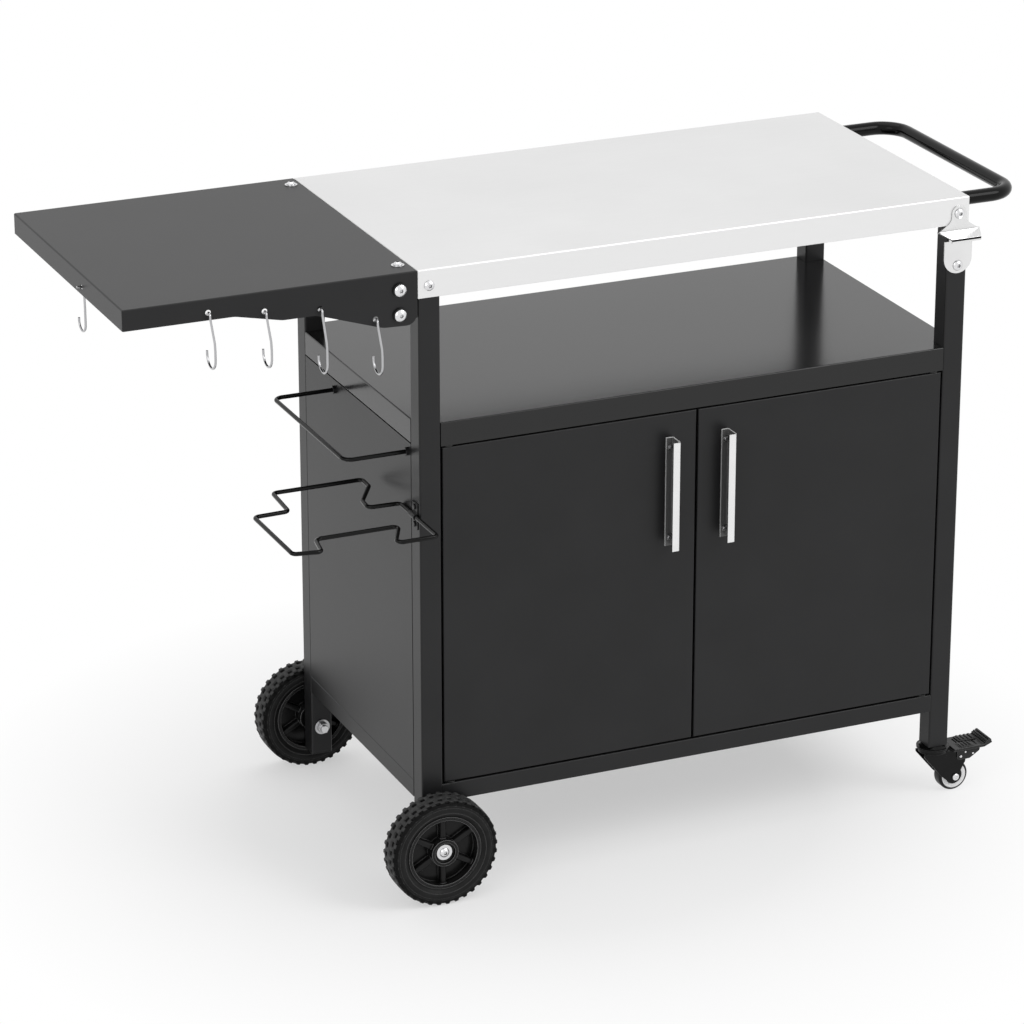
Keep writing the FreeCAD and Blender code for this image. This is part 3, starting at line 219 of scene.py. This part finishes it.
class Shader(Graph):
    """a node material under construction: one principled shader and what feeds it"""

    def __init__(self, name):
        self.material = bpy.data.materials.new(name)
        self.material.use_nodes = True
        super().__init__(self.material.node_tree)
        self.surface = self.tree.nodes["Principled BSDF"]
        self.place = self.add("ShaderNodeTexCoord").outputs["Object"]

    def scaled_place(self, scale):
        """the piece's own coordinates, each times its own factor"""
        mapping = self.add("ShaderNodeMapping")
        mapping.inputs["Scale"].default_value = scale
        self.link(self.place, mapping.inputs["Vector"])
        return mapping.outputs["Vector"]

    def noise(self, scale, detail=3.0, stretch=(1, 1, 1)):
        """noise in the piece's own space, scale in cells per metre"""
        place = self.scaled_place(stretch)
        noise = self.add("ShaderNodeTexNoise")
        noise.inputs["Scale"].default_value = scale
        noise.inputs["Detail"].default_value = detail
        self.link(place, noise.inputs["Vector"])
        return noise.outputs["Fac"]

    def spread(self, value, low, high, start=0.3, end=0.7):
        """a number that runs from start to end, brought to the range from low to high"""
        node = self.add("ShaderNodeMapRange")
        node.inputs["From Min"].default_value = start
        node.inputs["From Max"].default_value = end
        node.inputs["To Min"].default_value = low
        node.inputs["To Max"].default_value = high
        self.link(value, node.inputs["Value"])
        return node.outputs["Result"]

    def blend(self, share, first, second):
        """a colour between two, by a number from 0 to 1; each is a colour or a socket"""
        node = self.add("ShaderNodeMix", data_type="RGBA")
        self.link(share, node.inputs[0])
        for value, socket in ((first, node.inputs[6]), (second, node.inputs[7])):
            self.feed((*value, 1) if isinstance(value, tuple) else value, socket)
        return node.outputs[2]

    def edges(self, radius):
        """1 near sharp edges, 0 elsewhere, and the normal with those edges rounded"""
        bevel = self.add("ShaderNodeBevel", samples=6)
        bevel.inputs["Radius"].default_value = radius
        geometry = self.add("ShaderNodeNewGeometry")
        dot = self.add("ShaderNodeVectorMath", operation="DOT_PRODUCT")
        self.link(bevel.outputs["Normal"], dot.inputs[0])
        self.link(geometry.outputs["Normal"], dot.inputs[1])
        return self.spread(dot.outputs["Value"], 1.0, 0.0, *edge_highlight_range), bevel.outputs["Normal"]

    def recess_shade_mask(self, reach):
        """0 deep in recesses and seams, 1 in the open: where painted shade falls"""
        node = self.add("ShaderNodeAmbientOcclusion", samples=8)
        node.inputs["Distance"].default_value = reach
        return self.spread(node.outputs["AO"], 0.0, 1.0, *recess_shade_range)

    def beyond(self, axis, limit, below=False):
        """1 where the piece's own X, Y or Z passes the limit, else 0"""
        split = self.add("ShaderNodeSeparateXYZ")
        self.link(self.place, split.inputs[0])
        return self.maths("LESS_THAN" if below else "GREATER_THAN", split.outputs[axis], limit)

    def both(self, first, second):
        """1 only where both masks are 1"""
        return self.maths("MULTIPLY", first, second)

    def ring(self, flat_scale, inner, outer):
        """1 between two distances from the piece's axle, which lies along the flattened axis"""
        reach = self.length(self.scaled_place(flat_scale))
        return self.both(self.maths("GREATER_THAN", reach, inner), self.maths("LESS_THAN", reach, outer))

    def paint(self, mask, colour):
        """the shader's colour changed to another where the mask is 1"""
        socket = self.surface.inputs["Base Color"]
        self.link(self.blend(mask, socket.links[0].from_socket, colour), socket)

    def bump(self, height, distance, normal):
        node = self.add("ShaderNodeBump")
        node.inputs["Distance"].default_value = distance
        self.link(height, node.inputs["Height"])
        self.link(normal, node.inputs["Normal"])
        return node.outputs["Normal"]


finishes = {}


def finish(name, colour, roughness, metallic=0.0, variation=0.08, cells=14.0, grain=900.0, relief=0.00002,
           stretch=(1, 1, 1), edge=0.0006, edge_highlight=None, specular=0.5, recess_shade_reach=0.0):
    """one finish: colour that drifts a little, uneven gloss, a fine relief, painted highlights on edges,
    painted shade in recesses
    """
    shader = Shader(name)
    low = tuple(value * (1 - variation) for value in colour)
    high = tuple(min(value * (1 + variation), 1.0) for value in colour)
    drift = shader.spread(shader.noise(cells), 0.0, 1.0)
    base = shader.blend(drift, low, high)
    mask, rounded = shader.edges(edge)
    # painted highlight: the edges of the piece take a lighter colour
    if edge_highlight is not None:
        base = shader.blend(mask, base, edge_highlight)
    # painted shade: recesses and seams darkened by occlusion
    if recess_shade_reach:
        recess_shade_colour = tuple(value * crevice_shade for value in colour)
        base = shader.blend(shader.recess_shade_mask(recess_shade_reach), recess_shade_colour, base)
    shader.link(base, shader.surface.inputs["Base Color"])
    fine = shader.noise(grain, 2.0, stretch)
    uneven = shader.spread(fine, roughness * (1 - gloss_drift), roughness * (1 + gloss_drift))
    shader.link(uneven, shader.surface.inputs["Roughness"])
    shader.link(shader.bump(fine, relief, rounded), shader.surface.inputs["Normal"])
    shader.surface.inputs["Metallic"].default_value = metallic
    shader.surface.inputs["Specular IOR Level"].default_value = specular
    finishes[name] = shader
    return shader


# For each finish, the colour given for its edges is a painted highlight, and the reach given for its recesses
# is that of painted shade
# Bare metals
finish("steel_top", grey(0.735), 0.36, metallic=1.0, variation=0.02, cells=6, grain=700, relief=0.000006,
       stretch=(0.03, 1, 1), edge=0.0008, edge_highlight=grey(0.78))
finish("stamped_steel", grey(0.78), 0.24, metallic=1.0, variation=0.03, cells=30, grain=1400, relief=0.000006,
       stretch=(1, 1, 0.03), edge=0.0005, edge_highlight=grey(0.90), recess_shade_reach=0.005)
finish("bright_wire", (0.47, 0.47, 0.48), 0.11, metallic=1.0, variation=0.04, cells=60, grain=1200,
       relief=0.000003, recess_shade_reach=0.004)
finish("bright_screw", (0.74, 0.74, 0.75), 0.16, metallic=1.0, variation=0.05, cells=120, grain=1500,
       relief=0.000004, edge=0.0003, edge_highlight=grey(0.85), recess_shade_reach=0.0035)
finish("zinc_steel", (0.56, 0.56, 0.57), 0.30, metallic=1.0, variation=0.12, cells=90, grain=1500,
       relief=0.000008, edge=0.0003, edge_highlight=grey(0.72), recess_shade_reach=0.003)

# Black coats on steel
finish("black_coat", (0.011, 0.011, 0.0115), 0.36, variation=0.12, cells=9, grain=1500, relief=0.00001,
       edge=0.0007, edge_highlight=(0.030, 0.030, 0.031), specular=0.27)
finish("shelf_coat", (0.012, 0.012, 0.0125), 0.17, variation=0.12, cells=9, grain=1500, relief=0.000008,
       edge=0.0007, edge_highlight=(0.030, 0.030, 0.031), specular=0.45)
finish("handle_coat", grey(0.003), 0.13, variation=0.10, cells=20, grain=900, relief=0.000003,
       edge=0.0005, edge_highlight=grey(0.02), specular=0.15)
finish("rack_coat", grey(0.003), 0.16, variation=0.10, cells=40, grain=1200, relief=0.000004,
       edge=0.0005, edge_highlight=grey(0.02), specular=0.16)
finish("caster_coat", grey(0.004), 0.22, variation=0.15, cells=60, grain=1500, relief=0.000008,
       edge=0.0010, edge_highlight=grey(0.050), specular=0.16, recess_shade_reach=0.006)

# Rubber and plastics
finish("black_rubber", grey(0.012), 0.46, variation=0.25, cells=60, grain=1600, relief=0.00006,
       edge=0.0012, edge_highlight=grey(0.130), specular=0.11, recess_shade_reach=0.005)
finish("black_plastic", grey(0.008), 0.40, variation=0.15, cells=50, grain=1800, relief=0.00002,
       edge=0.0008, edge_highlight=grey(0.03), specular=0.30)
finish("rim_plastic", grey(0.008), 0.22, variation=0.15, cells=50, grain=1800, relief=0.00001,
       edge=0.0022, edge_highlight=grey(0.170), specular=0.18, recess_shade_reach=0.012)
finish("grey_plastic", grey(0.018), 0.34, variation=0.20, cells=80, grain=2200, relief=0.00002,
       edge=0.0008, edge_highlight=grey(0.17), specular=0.22, recess_shade_reach=0.003)
finish("caster_plastic", grey(0.006), 0.38, variation=0.15, cells=80, grain=1500, relief=0.00001,
       edge=0.0005, edge_highlight=grey(0.03), specular=0.22)

# Nodes whose finish is more particular than their material slot
node_finishes = {
    "cabinet_top": "shelf_coat", "bottle_opener": "stamped_steel", "caster_sockets": "caster_coat",
    "front_caster_fork": "caster_coat", "rear_caster_fork": "caster_coat", "front_rim": "rim_plastic",
    "rear_rim": "rim_plastic", "door_handle_left": "channel_left", "door_handle_right": "channel_right",
}


def lit_and_shaded_channel_finish(side):
    """a door handle: bright in front, with painted shade behind and painted highlights along its free edge
    and top end
    """
    low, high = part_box(f"door_handle_{side}")
    shader = finish(f"channel_{side}", grey(0.82), 0.26, metallic=1.0, variation=0.03, cells=30, grain=1400,
                    relief=0.000006, stretch=(1, 1, 0.03), edge=0.0004)
    face = low.y + handle_face
    # painted shade: behind the front face the channel is dark and not metallic
    shader.paint(shader.beyond("Y", face), grey(0.075))
    # painted highlight: a pale line along the back flange's free edge
    free_edge_highlight = shader.both(shader.beyond("Y", high.y - handle_free_edge),
                            shader.beyond("X", low.x + handle_sheet_edge, True))
    shader.paint(free_edge_highlight, grey(0.36))
    # painted highlight: a light line along the top end
    shader.paint(shader.beyond("Z", high.z - handle_top_end), grey(0.60))
    shader.link(shader.beyond("Y", face, True), shader.surface.inputs["Metallic"])


def opener_hood_shade():
    """painted shade: a black band along the front of the opener, just below the hood's fold"""
    low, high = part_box("bottle_opener")
    fold = high.z - opener_fold_drop
    shader = finishes["stamped_steel"]
    front_face = shader.beyond("Y", low.y + opener_front_face, True)
    hood_shade_band = shader.both(shader.beyond("Z", fold - opener_shade_low),
                       shader.beyond("Z", fold - opener_shade_high, True))
    # painted shade on the front face below the hood
    shader.paint(shader.both(front_face, hood_shade_band), grey(0.01))


def wheel_colours():
    """the pale ring of the casters' hubs, the tyres' tread tops lighter and mottled, and painted shade in the
    tread's pits
    """
    shader = finishes["caster_plastic"]
    shader.paint(shader.ring((1, 1, 0), *caster_ring), grey(0.74))
    shader = finishes["black_rubber"]
    tread_top_tone = shader.blend(shader.spread(shader.noise(160), 0.0, 1.0), grey(0.026), grey(0.050))
    on_tread = shader.beyond("Y", tyre_width / 2 - tread_side, True)
    on_tread = shader.both(on_tread, shader.beyond("Y", tread_side - tyre_width / 2))
    # painted shade: the tread's pits near black
    pits = shader.ring((1, 0, 1), pit_floor, tyre_radius - tread_top)
    shader.paint(shader.both(on_tread, pits), grey(0.002))
    shader.paint(shader.ring((1, 0, 1), tyre_radius - tread_top, no_limit), tread_top_tone)


def painted_light_and_shade_on_fronts():
    """painted shade on the shelf's front edge, darker than its top, and painted light on the worktop's sides,
    a little paler
    """
    front_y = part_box("cabinet_top")[0].y
    shelf = finishes["shelf_coat"]
    # painted shade: the shelf's front edge darker than its top
    shelf.paint(shelf.beyond("Y", front_y + shelf_front_face, True), grey(0.002))
    top_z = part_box("worktop_tray")[1].z
    steel = finishes["steel_top"]
    # painted light: the worktop's sides a little paler than its top
    steel.paint(steel.beyond("Z", top_z - worktop_top_face, True), grey(0.815))


def dress_nodes():
    """each node of the solids gets its own finish, or that of its material slot"""
    for part in frame["record"]["subparts"]:
        shader = finishes[node_finishes.get(part["node"], part["material_slot"])]
        for place in nodes[part["node"]].material_slots:
            place.material = shader.material


# Building blocks

def piece(name, data, slot, body, *replaced):
    """a new piece of the object: its finish, the body it rides on and the nodes it stands for"""
    made = bpy.data.objects.new(name, data)
    bpy.context.collection.objects.link(made)
    data.materials.append(finishes[slot].material)
    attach(made, body)
    if replaced:
        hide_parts(*replaced)
    return made


def put(made, place, degrees=0, axis="X"):
    """a piece set down at a place, turned about its own axis first"""
    made.matrix_world = Matrix.Translation(place) @ Matrix.Rotation(math.radians(degrees), 4, axis)


def level(z, corners):
    """corners at one height"""
    return [Vector((x, y, z)) for x, y in corners]


def rounded_route(points, bends, closed=False, steps=10):
    """a line through the points, each corner turned into an arc of its bend radius"""
    count = len(points)
    route = []
    for index in range(count):
        here = points[index]
        bend = bends[index] if isinstance(bends, (list, tuple)) else bends
        if bend == 0 or (not closed and index in (0, count - 1)):
            route.append(here)
            continue
        way_in = (here - points[index - 1]).normalized()
        way_out = (points[(index + 1) % count] - here).normalized()
        turn = way_in.angle(way_out)
        if turn < 1e-4:
            route.append(here)
            continue
        reach = bend * math.tan(turn / 2)
        centre = here + (way_out - way_in).normalized() * (bend / math.cos(turn / 2))
        start = here - way_in * reach - centre
        axis = way_in.cross(way_out).normalized()
        for step in range(steps + 1):
            route.append(centre + Matrix.Rotation(turn * step / steps, 3, axis) @ start)
    return route


def tube(name, points, bends, radius, slot, body, *replaced, closed=False):
    """a round bar along a route"""
    curve = bpy.data.curves.new(name, "CURVE")
    curve.dimensions = "3D"
    curve.bevel_depth = radius
    curve.bevel_resolution = 8
    curve.use_fill_caps = not closed
    route = rounded_route(points, bends, closed)
    line = curve.splines.new("POLY")
    line.points.add(len(route) - 1)
    for point, place in zip(line.points, route):
        point.co = (*place, 1)
    line.use_cyclic_u = closed
    line.use_smooth = True
    piece(name, curve, slot, body, *replaced)


def corner_points(radius, height, out, up, count, parts):
    """the first points of a quarter turn cut into parts, from straight up to straight out"""
    angles = [math.radians(90 * step / parts) for step in range(count)]
    return [(radius + out * math.sin(angle), height + up * math.cos(angle)) for angle in angles]


def turned(profile, steps=48):
    """a mesh turned about Z from (radius, height) pairs"""
    shape = bmesh.new()
    rows = []
    for radius, height in profile:
        if radius == 0:
            rows.append([shape.verts.new((0, 0, height))] * steps)
            continue
        rows.append([shape.verts.new((radius * math.cos(math.tau * k / steps),
                                      radius * math.sin(math.tau * k / steps), height))
                     for k in range(steps)])
    for low, high in zip(rows, rows[1:]):
        for k in range(steps):
            corners = [low[k], low[(k + 1) % steps], high[(k + 1) % steps], high[k]]
            shape.faces.new(list(dict.fromkeys(corners)))
    return shape


def mesh_from(name, shape, smooth_angle=40):
    """the finished mesh, smooth where faces meet at less than the angle"""
    bmesh.ops.recalc_face_normals(shape, faces=shape.faces)
    limit = math.radians(smooth_angle)
    for face in shape.faces:
        face.smooth = True
    for edge in shape.edges:
        if len(edge.link_faces) == 2 and edge.calc_face_angle(0) > limit:
            edge.smooth = False
    mesh = bpy.data.meshes.new(name)
    shape.to_mesh(mesh)
    shape.free()
    return mesh


def blocks(name, slot, body, place, sizes, edge=0.0004):
    """small bars with rounded edges: low and high corner in mm from the place, and tilt about Y in degrees"""
    shape = bmesh.new()
    for low, high, tilt in sizes:
        low, high = Vector(low) / 1000, Vector(high) / 1000
        made = bmesh.ops.create_cube(shape, size=1)["verts"]
        centre = (low + high) / 2
        matrix = Matrix.Translation(centre) @ Matrix.Rotation(math.radians(-tilt), 4, "Y")
        bmesh.ops.transform(shape, matrix=matrix @ Matrix.Diagonal((*(high - low), 1)), verts=made)
    bmesh.ops.bevel(shape, geom=list(shape.edges), offset=edge, segments=2, profile=0.5, affect="EDGES")
    put(piece(name, mesh_from(name, shape, 35), slot, body), place)


def button(name, profile, slot, body, place, way=-1):
    """a small turned head that faces the front (way -1) or the back (1), its profile in mm"""
    rows = [(radius / 1000, height / 1000) for radius, height in profile]
    put(piece(name, mesh_from(name, turned(rows, 32), 30), slot, body), place, -90 * way)


# Wire and tube pieces

def front_hooks():
    """the four hooks of the side table's front flange, each swinging in its hole"""
    eye_y = -hook_eye * math.sin(hook_cross)
    eye_z = -hook_eye * math.cos(hook_cross)
    shank_y = eye_y - hook_eye
    low_y = shank_y - hook_lean
    back_y = low_y + 2 * hook_bend
    crook = hook_eye * math.tan(math.radians(45) + hook_tail / 2)
    corner = Vector((0, shank_y, eye_z + crook))
    along = Vector((0, math.cos(hook_tail), -math.sin(hook_tail)))
    end = corner + along * (crook + hook_tail_length)
    bends = [0, hook_eye, 2 * hook_eye, 2 * hook_eye, 2 * hook_eye, hook_bend, hook_bend, 0]
    for name in front_hook_names:
        low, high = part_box(name)
        hole = Vector((low.x + wire, low.y + wire - low_y, high.z - wire - eye_z - hook_eye))
        bottom = low.z + wire - hole.z
        drop = -bottom + wire
        points = [end, corner, Vector((0, shank_y, eye_z - wire)),
                  Vector((hook_side_lean, low_y + wire, -drop * hook_lean_start)),
                  Vector((hook_side_lean, low_y, -drop * hook_lean_end)),
                  Vector((hook_side_lean, low_y, bottom)), Vector((hook_side_lean, back_y, bottom)),
                  Vector((hook_side_lean, back_y, bottom + hook_bend + hook_tip))]
        tube(f"{name}_wire", [hole + point for point in points], bends, wire, "bright_wire", name, name)


def side_hook():
    """the fifth hook, in the left flange"""
    low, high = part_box("hook_5")
    eye = side_hook_eye
    bend = side_hook_bend
    shank_y = -side_hook_setback
    hole = Vector((low.x + side_hook_tail, low.y + wire + side_hook_setback, high.z - wire - side_hook_rise))
    bottom = low.z + wire - hole.z
    tip = Vector((eye - side_hook_twist, shank_y + 2 * bend, bottom))
    points = [Vector((side_hook_tail_start - side_hook_tail, 0, side_hook_rise)), Vector((eye, 0, 0)),
              Vector((eye, shank_y, bottom * side_hook_shank)), Vector((eye, shank_y, bottom)),
              tip, tip + Z * (bend + hook_tip)]
    tube("hook_5_wire", [hole + point for point in points], [0, eye, 2 * eye, bend, bend, 0], side_hook_wire,
         "bright_wire", "hook_5", "hook_5")


def push_handle():
    """the bent tube and a collar at each leg"""
    low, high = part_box("push_handle")
    z = (low.z + high.z) / 2
    x_bar = high.x - push_radius
    y_front = low.y + push_collar
    y_back = high.y - push_collar
    route = level(z, ((low.x, y_front), (x_bar, y_front), (x_bar, y_back), (low.x, y_back)))
    tube("push_handle_tube", route, push_bend, push_radius, "handle_coat", "frame", "push_handle")
    profile = [(0, 0), (push_collar, 0), (push_collar, push_collar_length - push_collar_edge),
               (push_collar - push_collar_edge, push_collar_length), (push_radius, push_collar_length),
               (0, push_collar_length)]
    for name, y in (("front", y_front), ("back", y_back)):
        collar = piece(f"push_collar_{name}", mesh_from("collar", turned(profile)), "handle_coat", "frame")
        put(collar, (low.x, y, z), 90, "Y")


def towel_rod():
    """the U-shaped rod, its ends through the left panel"""
    low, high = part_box("towel_rod")
    x_out = low.x + rack_wire
    y_front = low.y + rack_wire
    y_back = high.y - rack_wire
    corners = ((high.x, y_front), (x_out, y_front), (x_out, y_back), (high.x, y_back))
    route = level((low.z + high.z) / 2, corners)
    tube("towel_rod_bar", route, towel_bend, rack_wire, "rack_coat", "frame", "towel_rod")


def bag_ring():
    """the closed loop around the front left post"""
    low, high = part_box("bag_ring")
    near = min(along for out, along in ring_corners) / 1000
    corners = [(high.x - rack_wire - out / 1000, low.y + rack_wire - near + along / 1000)
               for out, along in ring_corners]
    tube("bag_ring_wire", level((low.z + high.z) / 2, corners), ring_bend, rack_wire, "rack_coat", "frame",
         "bag_ring", closed=True)


# Wheels

def step_between(value, start, end):
    """0 before start, 1 after end, smooth between"""
    share = min(max((value - start) / (end - start), 0.0), 1.0)
    return share * share * (3 - 2 * share)


def inside(distance, half, blur):
    """1 within half of the middle, 0 beyond half + blur"""
    return 1 - step_between(abs(distance), half, half + blur)


def tread_depth(turn, across):
    """how deep the tread is cut at a place: turn in pitches, across in metres from the middle"""
    depth = 0.0
    for side in (-1, 1):
        pit_turn = (turn + 0.25 * side) % 1.0 - 0.5
        pit = inside(pit_turn, *cut_turns) * inside(across - side * pit_offset, *pit_across)
        notch_turn = (turn - 0.25 * side) % 1.0 - 0.5
        notch = inside(notch_turn, *cut_turns) * step_between(side * across, *notch_across)
        depth = max(depth, pit_depth * pit, notch_depth * notch)
    return depth


def tyre_profile():
    """a solid tyre's outline as (radius, height) pairs, from one bead over the tread to the other"""
    half = tyre_width / 2
    shoulder = half - shoulder_inset
    wall = [(radius, half - inset) for radius, inset in tyre_wall]
    wall += corner_points(shoulder_radius, shoulder, shoulder_out, shoulder_up, 5, 5)
    heights = [shoulder * (1 - 2 * step / tread_rows) for step in range(tread_rows + 1)]
    tread = [(tyre_radius - tread_drop - tread_crown * (height / shoulder) ** 4, height)
             for height in heights]
    return wall + tread + [(radius, -height) for radius, height in reversed(wall)]


def tyre(name, node, body):
    """a solid tyre: two staggered rows of pits, notched shoulders, a ringed side wall"""
    low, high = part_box(node)
    shape = bmesh.new()
    steps = tread_pitches * tread_steps
    rows = []
    for radius, height in tyre_profile():
        share = step_between(radius, *tread_fade)
        row = []
        for k in range(steps):
            reach = radius - tread_depth(k / tread_steps, height) * share
            angle = math.tau * k / steps
            row.append(shape.verts.new((reach * math.cos(angle), -height, reach * math.sin(angle))))
        rows.append(row)
    rows.append(rows[0])
    for first, second in zip(rows, rows[1:]):
        for k in range(steps):
            shape.faces.new((first[k], first[(k + 1) % steps], second[(k + 1) % steps], second[k]))
    put(piece(name, mesh_from(name, shape, 50), "black_rubber", body, node), (low + high) / 2)


def caster_wheel(name, node, body):
    """a dark tyre with rounded shoulders on a hub whose pale ring stands out on both faces"""
    low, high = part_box(node)
    half = (high.y - low.y) / 2
    radius = (high.z - low.z) / 2
    ring_in, ring_out = caster_ring
    face = ((0.0031, 0), (0.0058, 0), (0.0061, 0.0004), (0.0064, 0.0014), (ring_in - 0.0003, 0.0014),
            (ring_in, 0.0011), (ring_in + 0.0004, 0.0007), (ring_out - 0.0005, 0.0007), (ring_out, 0.0011),
            (ring_out + 0.0003, 0.0016), (ring_out + 0.0008, 0.0013))
    side = [(reach, half - inset) for reach, inset in face]
    side += corner_points(radius - caster_corner, half - caster_corner_inset, caster_corner_out,
                          caster_corner, 7, 6)
    profile = side + [(reach, -height) for reach, height in reversed(side)] + [side[0]]
    made = piece(name, mesh_from(name, turned(profile, 96), 35), "caster_plastic", body, node)
    put(made, (low + high) / 2, 90)


def caster_details(side):
    """the pedal's ribbed pads and end bar, its rivets, and the ringed head of the caster's bolt"""
    body = f"{side}_brake"
    low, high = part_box(f"{side}_caster_axle")
    stem = Vector(((low.x + high.x) / 2 - caster_trail, 0, 0))
    stem.y = sum(corner.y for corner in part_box(f"{side}_caster_wheel")) / 2
    origin = stem + Z * pedal_top
    near_pad = [((34, -17.5, -0.3), (57, -1.5, 0.5), 0)]
    near_pad += [((36 + near_rib_pitch * k, -16.5, 0.3), (38.4 + near_rib_pitch * k, -2.5, 1.7), 0)
                 for k in range(4)]
    far_pad = [((42, 0.5, -0.3), (69, 18.5, 1.6), 0)]
    far_pad += [((45 + far_rib_pitch * k, 1.5, 1.4), (48.2 + far_rib_pitch * k, 17.5, 2.9), 0)
                for k in range(4)]
    blocks(f"{side}_pedal_pads", "grey_plastic", body, origin, near_pad + far_pad)
    end_bar = [((72.5, -20.3, 2.2), (83, 20.3, 4.8), end_bar_tilt)]
    end_bar += [((74.4 + end_rib_pitch * k, -18.5, 3.4 + end_rib_rise * k),
                 (76.4 + end_rib_pitch * k, 18.5, 6.0 + end_rib_rise * k), end_bar_tilt) for k in range(2)]
    blocks(f"{side}_pedal_end_bar", "grey_plastic", body, origin, end_bar)
    for way, word in ((-1, "front"), (1, "back")):
        for index, (along, height, size) in enumerate(pedal_rivets):
            profile = [(0, 1.3), (0.5 * size, 1.15), (0.8 * size, 0.75), (size, 0.1), (size, -0.2), (0, -0.2)]
            place = stem + Vector((along, way * pedal_cheek_face, height))
            button(f"{side}_pedal_rivet_{word}_{index + 1}", profile, "bright_screw", body, place, way)
    bolt = [(0, 0.3), (1.9, 0.3), (2.3, 1.0), (3.9, 1.0), (4.8, 0.3), (4.9, -0.1), (0, -0.1)]
    head = Vector((stem.x + caster_trail, low.y, (low.z + high.z) / 2))
    button(f"{side}_caster_bolt_head", bolt, "bright_screw", f"{side}_swivel", head)


def weld_beads():
    """a bead of weld where the floor's front edge meets each front post"""
    low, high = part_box("cabinet_floor")
    profile = [(0, 0)]
    for k in range(bead_steps + 1):
        ripple = bead_radius + bead_ripple * math.cos(k * bead_rhythm)
        profile.append((ripple if 0 < k < bead_steps else bead_end, bead_length * k / bead_steps))
    profile.append((0, bead_length))
    for name, x in (("left", low.x + bead_inset), ("right", high.x - bead_inset)):
        bead = piece(f"weld_bead_{name}", mesh_from("bead", turned(profile, 16)), "black_coat", "frame")
        put(bead, (x, low.y + bead_radius, low.z + bead_lift))


# Surroundings: how white the floor shows under the cart, the distances in metres over which it whitens,
# and how strongly the room lights the cart
floor_white = 0.47
floor_whitens = (0.40, 0.84)
room_light = 0.75


def floor_and_backdrop():
    """a pale floor that keeps the soft shadow and is whiter with distance, where it is seen directly or
    in a reflection"""
    bpy.ops.mesh.primitive_plane_add(size=30, location=(0, 0, 0))
    floor = bpy.context.object
    floor.name = "floor"
    shader = Shader("floor")
    tint = shader.blend(shader.spread(shader.noise(1.5), 0.0, 1.0), grey(0.86), grey(0.88))
    shader.link(tint, shader.surface.inputs["Base Color"])
    shader.surface.inputs["Roughness"].default_value = 0.9
    away = shader.length(shader.place)
    white = shader.add("ShaderNodeEmission")
    white.inputs["Color"].default_value = (1, 1, 1, 1)
    rays = shader.add("ShaderNodeLightPath")
    seen = shader.maths("MAXIMUM", rays.outputs["Is Camera Ray"], rays.outputs["Is Glossy Ray"])
    share = shader.maths("MULTIPLY", seen, shader.spread(away, floor_white, 1.0, *floor_whitens))
    surface = shader.mixed(share, shader.surface.outputs[0], white.outputs[0])
    shader.link(surface, shader.tree.nodes["Material Output"].inputs["Surface"])
    floor.data.materials.append(shader.material)


def world():
    """an even pale room: white where it is seen, softer where it only lights"""
    room = bpy.data.worlds.new("studio")
    bpy.context.scene.world = room
    room.use_nodes = True
    room.node_tree.nodes.clear()
    graph = Graph(room.node_tree)
    rays = graph.add("ShaderNodeLightPath")
    seen = graph.maths("MAXIMUM", rays.outputs["Is Camera Ray"], rays.outputs["Is Glossy Ray"])
    clear = graph.maths("MAXIMUM", seen, rays.outputs["Is Transmission Ray"])
    lights = []
    for strength in (room_light, 1.0):
        light = graph.add("ShaderNodeBackground")
        light.inputs["Color"].default_value = (1, 1, 1, 1)
        light.inputs["Strength"].default_value = strength
        lights.append(light.outputs[0])
    out = graph.add("ShaderNodeOutputWorld")
    graph.link(graph.mixed(clear, *lights), out.inputs["Surface"])


def lamps():
    """round soft lamps: name, place, aim, size in metres and power in watts"""
    for name, place, aim, size, power in (("key", (2.4, -2.6, 3.2), (0, 0, 0.5), 2.4, 55),
                                          ("fill", (-2.8, -2.0, 2.0), (0, 0, 0.5), 2.5, 20),
                                          ("overhead", (0.2, 0.6, 3.4), (0, 0, 0.6), 2.6, 16)):
        light = bpy.data.lights.new(name, "AREA")
        light.shape = "DISK"
        light.size = size
        light.energy = power
        made = bpy.data.objects.new(name, light)
        bpy.context.collection.objects.link(made)
        made.location = place
        made.rotation_euler = (Vector(aim) - Vector(place)).to_track_quat("-Z", "Y").to_euler()


def camera():
    """the photograph's view: place in metres, focal length in image widths"""
    azimuth = math.radians(-23.621)
    elevation = math.radians(21.314)
    place = (-2.28166, -5.14743, 2.63385)
    focal_length = 4.3124
    sensor_width = 36
    back = Vector((math.sin(azimuth) * math.cos(elevation), -math.cos(azimuth) * math.cos(elevation),
                   math.sin(elevation)))
    lens = bpy.data.cameras.new("camera")
    lens.sensor_width = sensor_width
    lens.lens = sensor_width * focal_length
    lens.clip_end = 60
    made = bpy.data.objects.new("camera", lens)
    bpy.context.collection.objects.link(made)
    made.matrix_world = Matrix.Translation(place) @ back.to_track_quat("Z", "Y").to_matrix().to_4x4()
    bpy.context.scene.camera = made


lit_and_shaded_channel_finish("left")
lit_and_shaded_channel_finish("right")
opener_hood_shade()
wheel_colours()
painted_light_and_shade_on_fronts()
dress_nodes()
front_hooks()
side_hook()
push_handle()
towel_rod()
bag_ring()
tyre("front_tyre_rubber", "front_tyre", "front_wheel")
tyre("rear_tyre_rubber", "rear_tyre", "rear_wheel")
caster_wheel("front_caster_roller", "front_caster_wheel", "front_roller")
caster_wheel("rear_caster_roller", "rear_caster_wheel", "rear_roller")
caster_details("front")
caster_details("rear")
weld_beads()
floor_and_backdrop()
world()
lamps()
camera()
bpy.context.scene.view_settings.view_transform = "Standard"
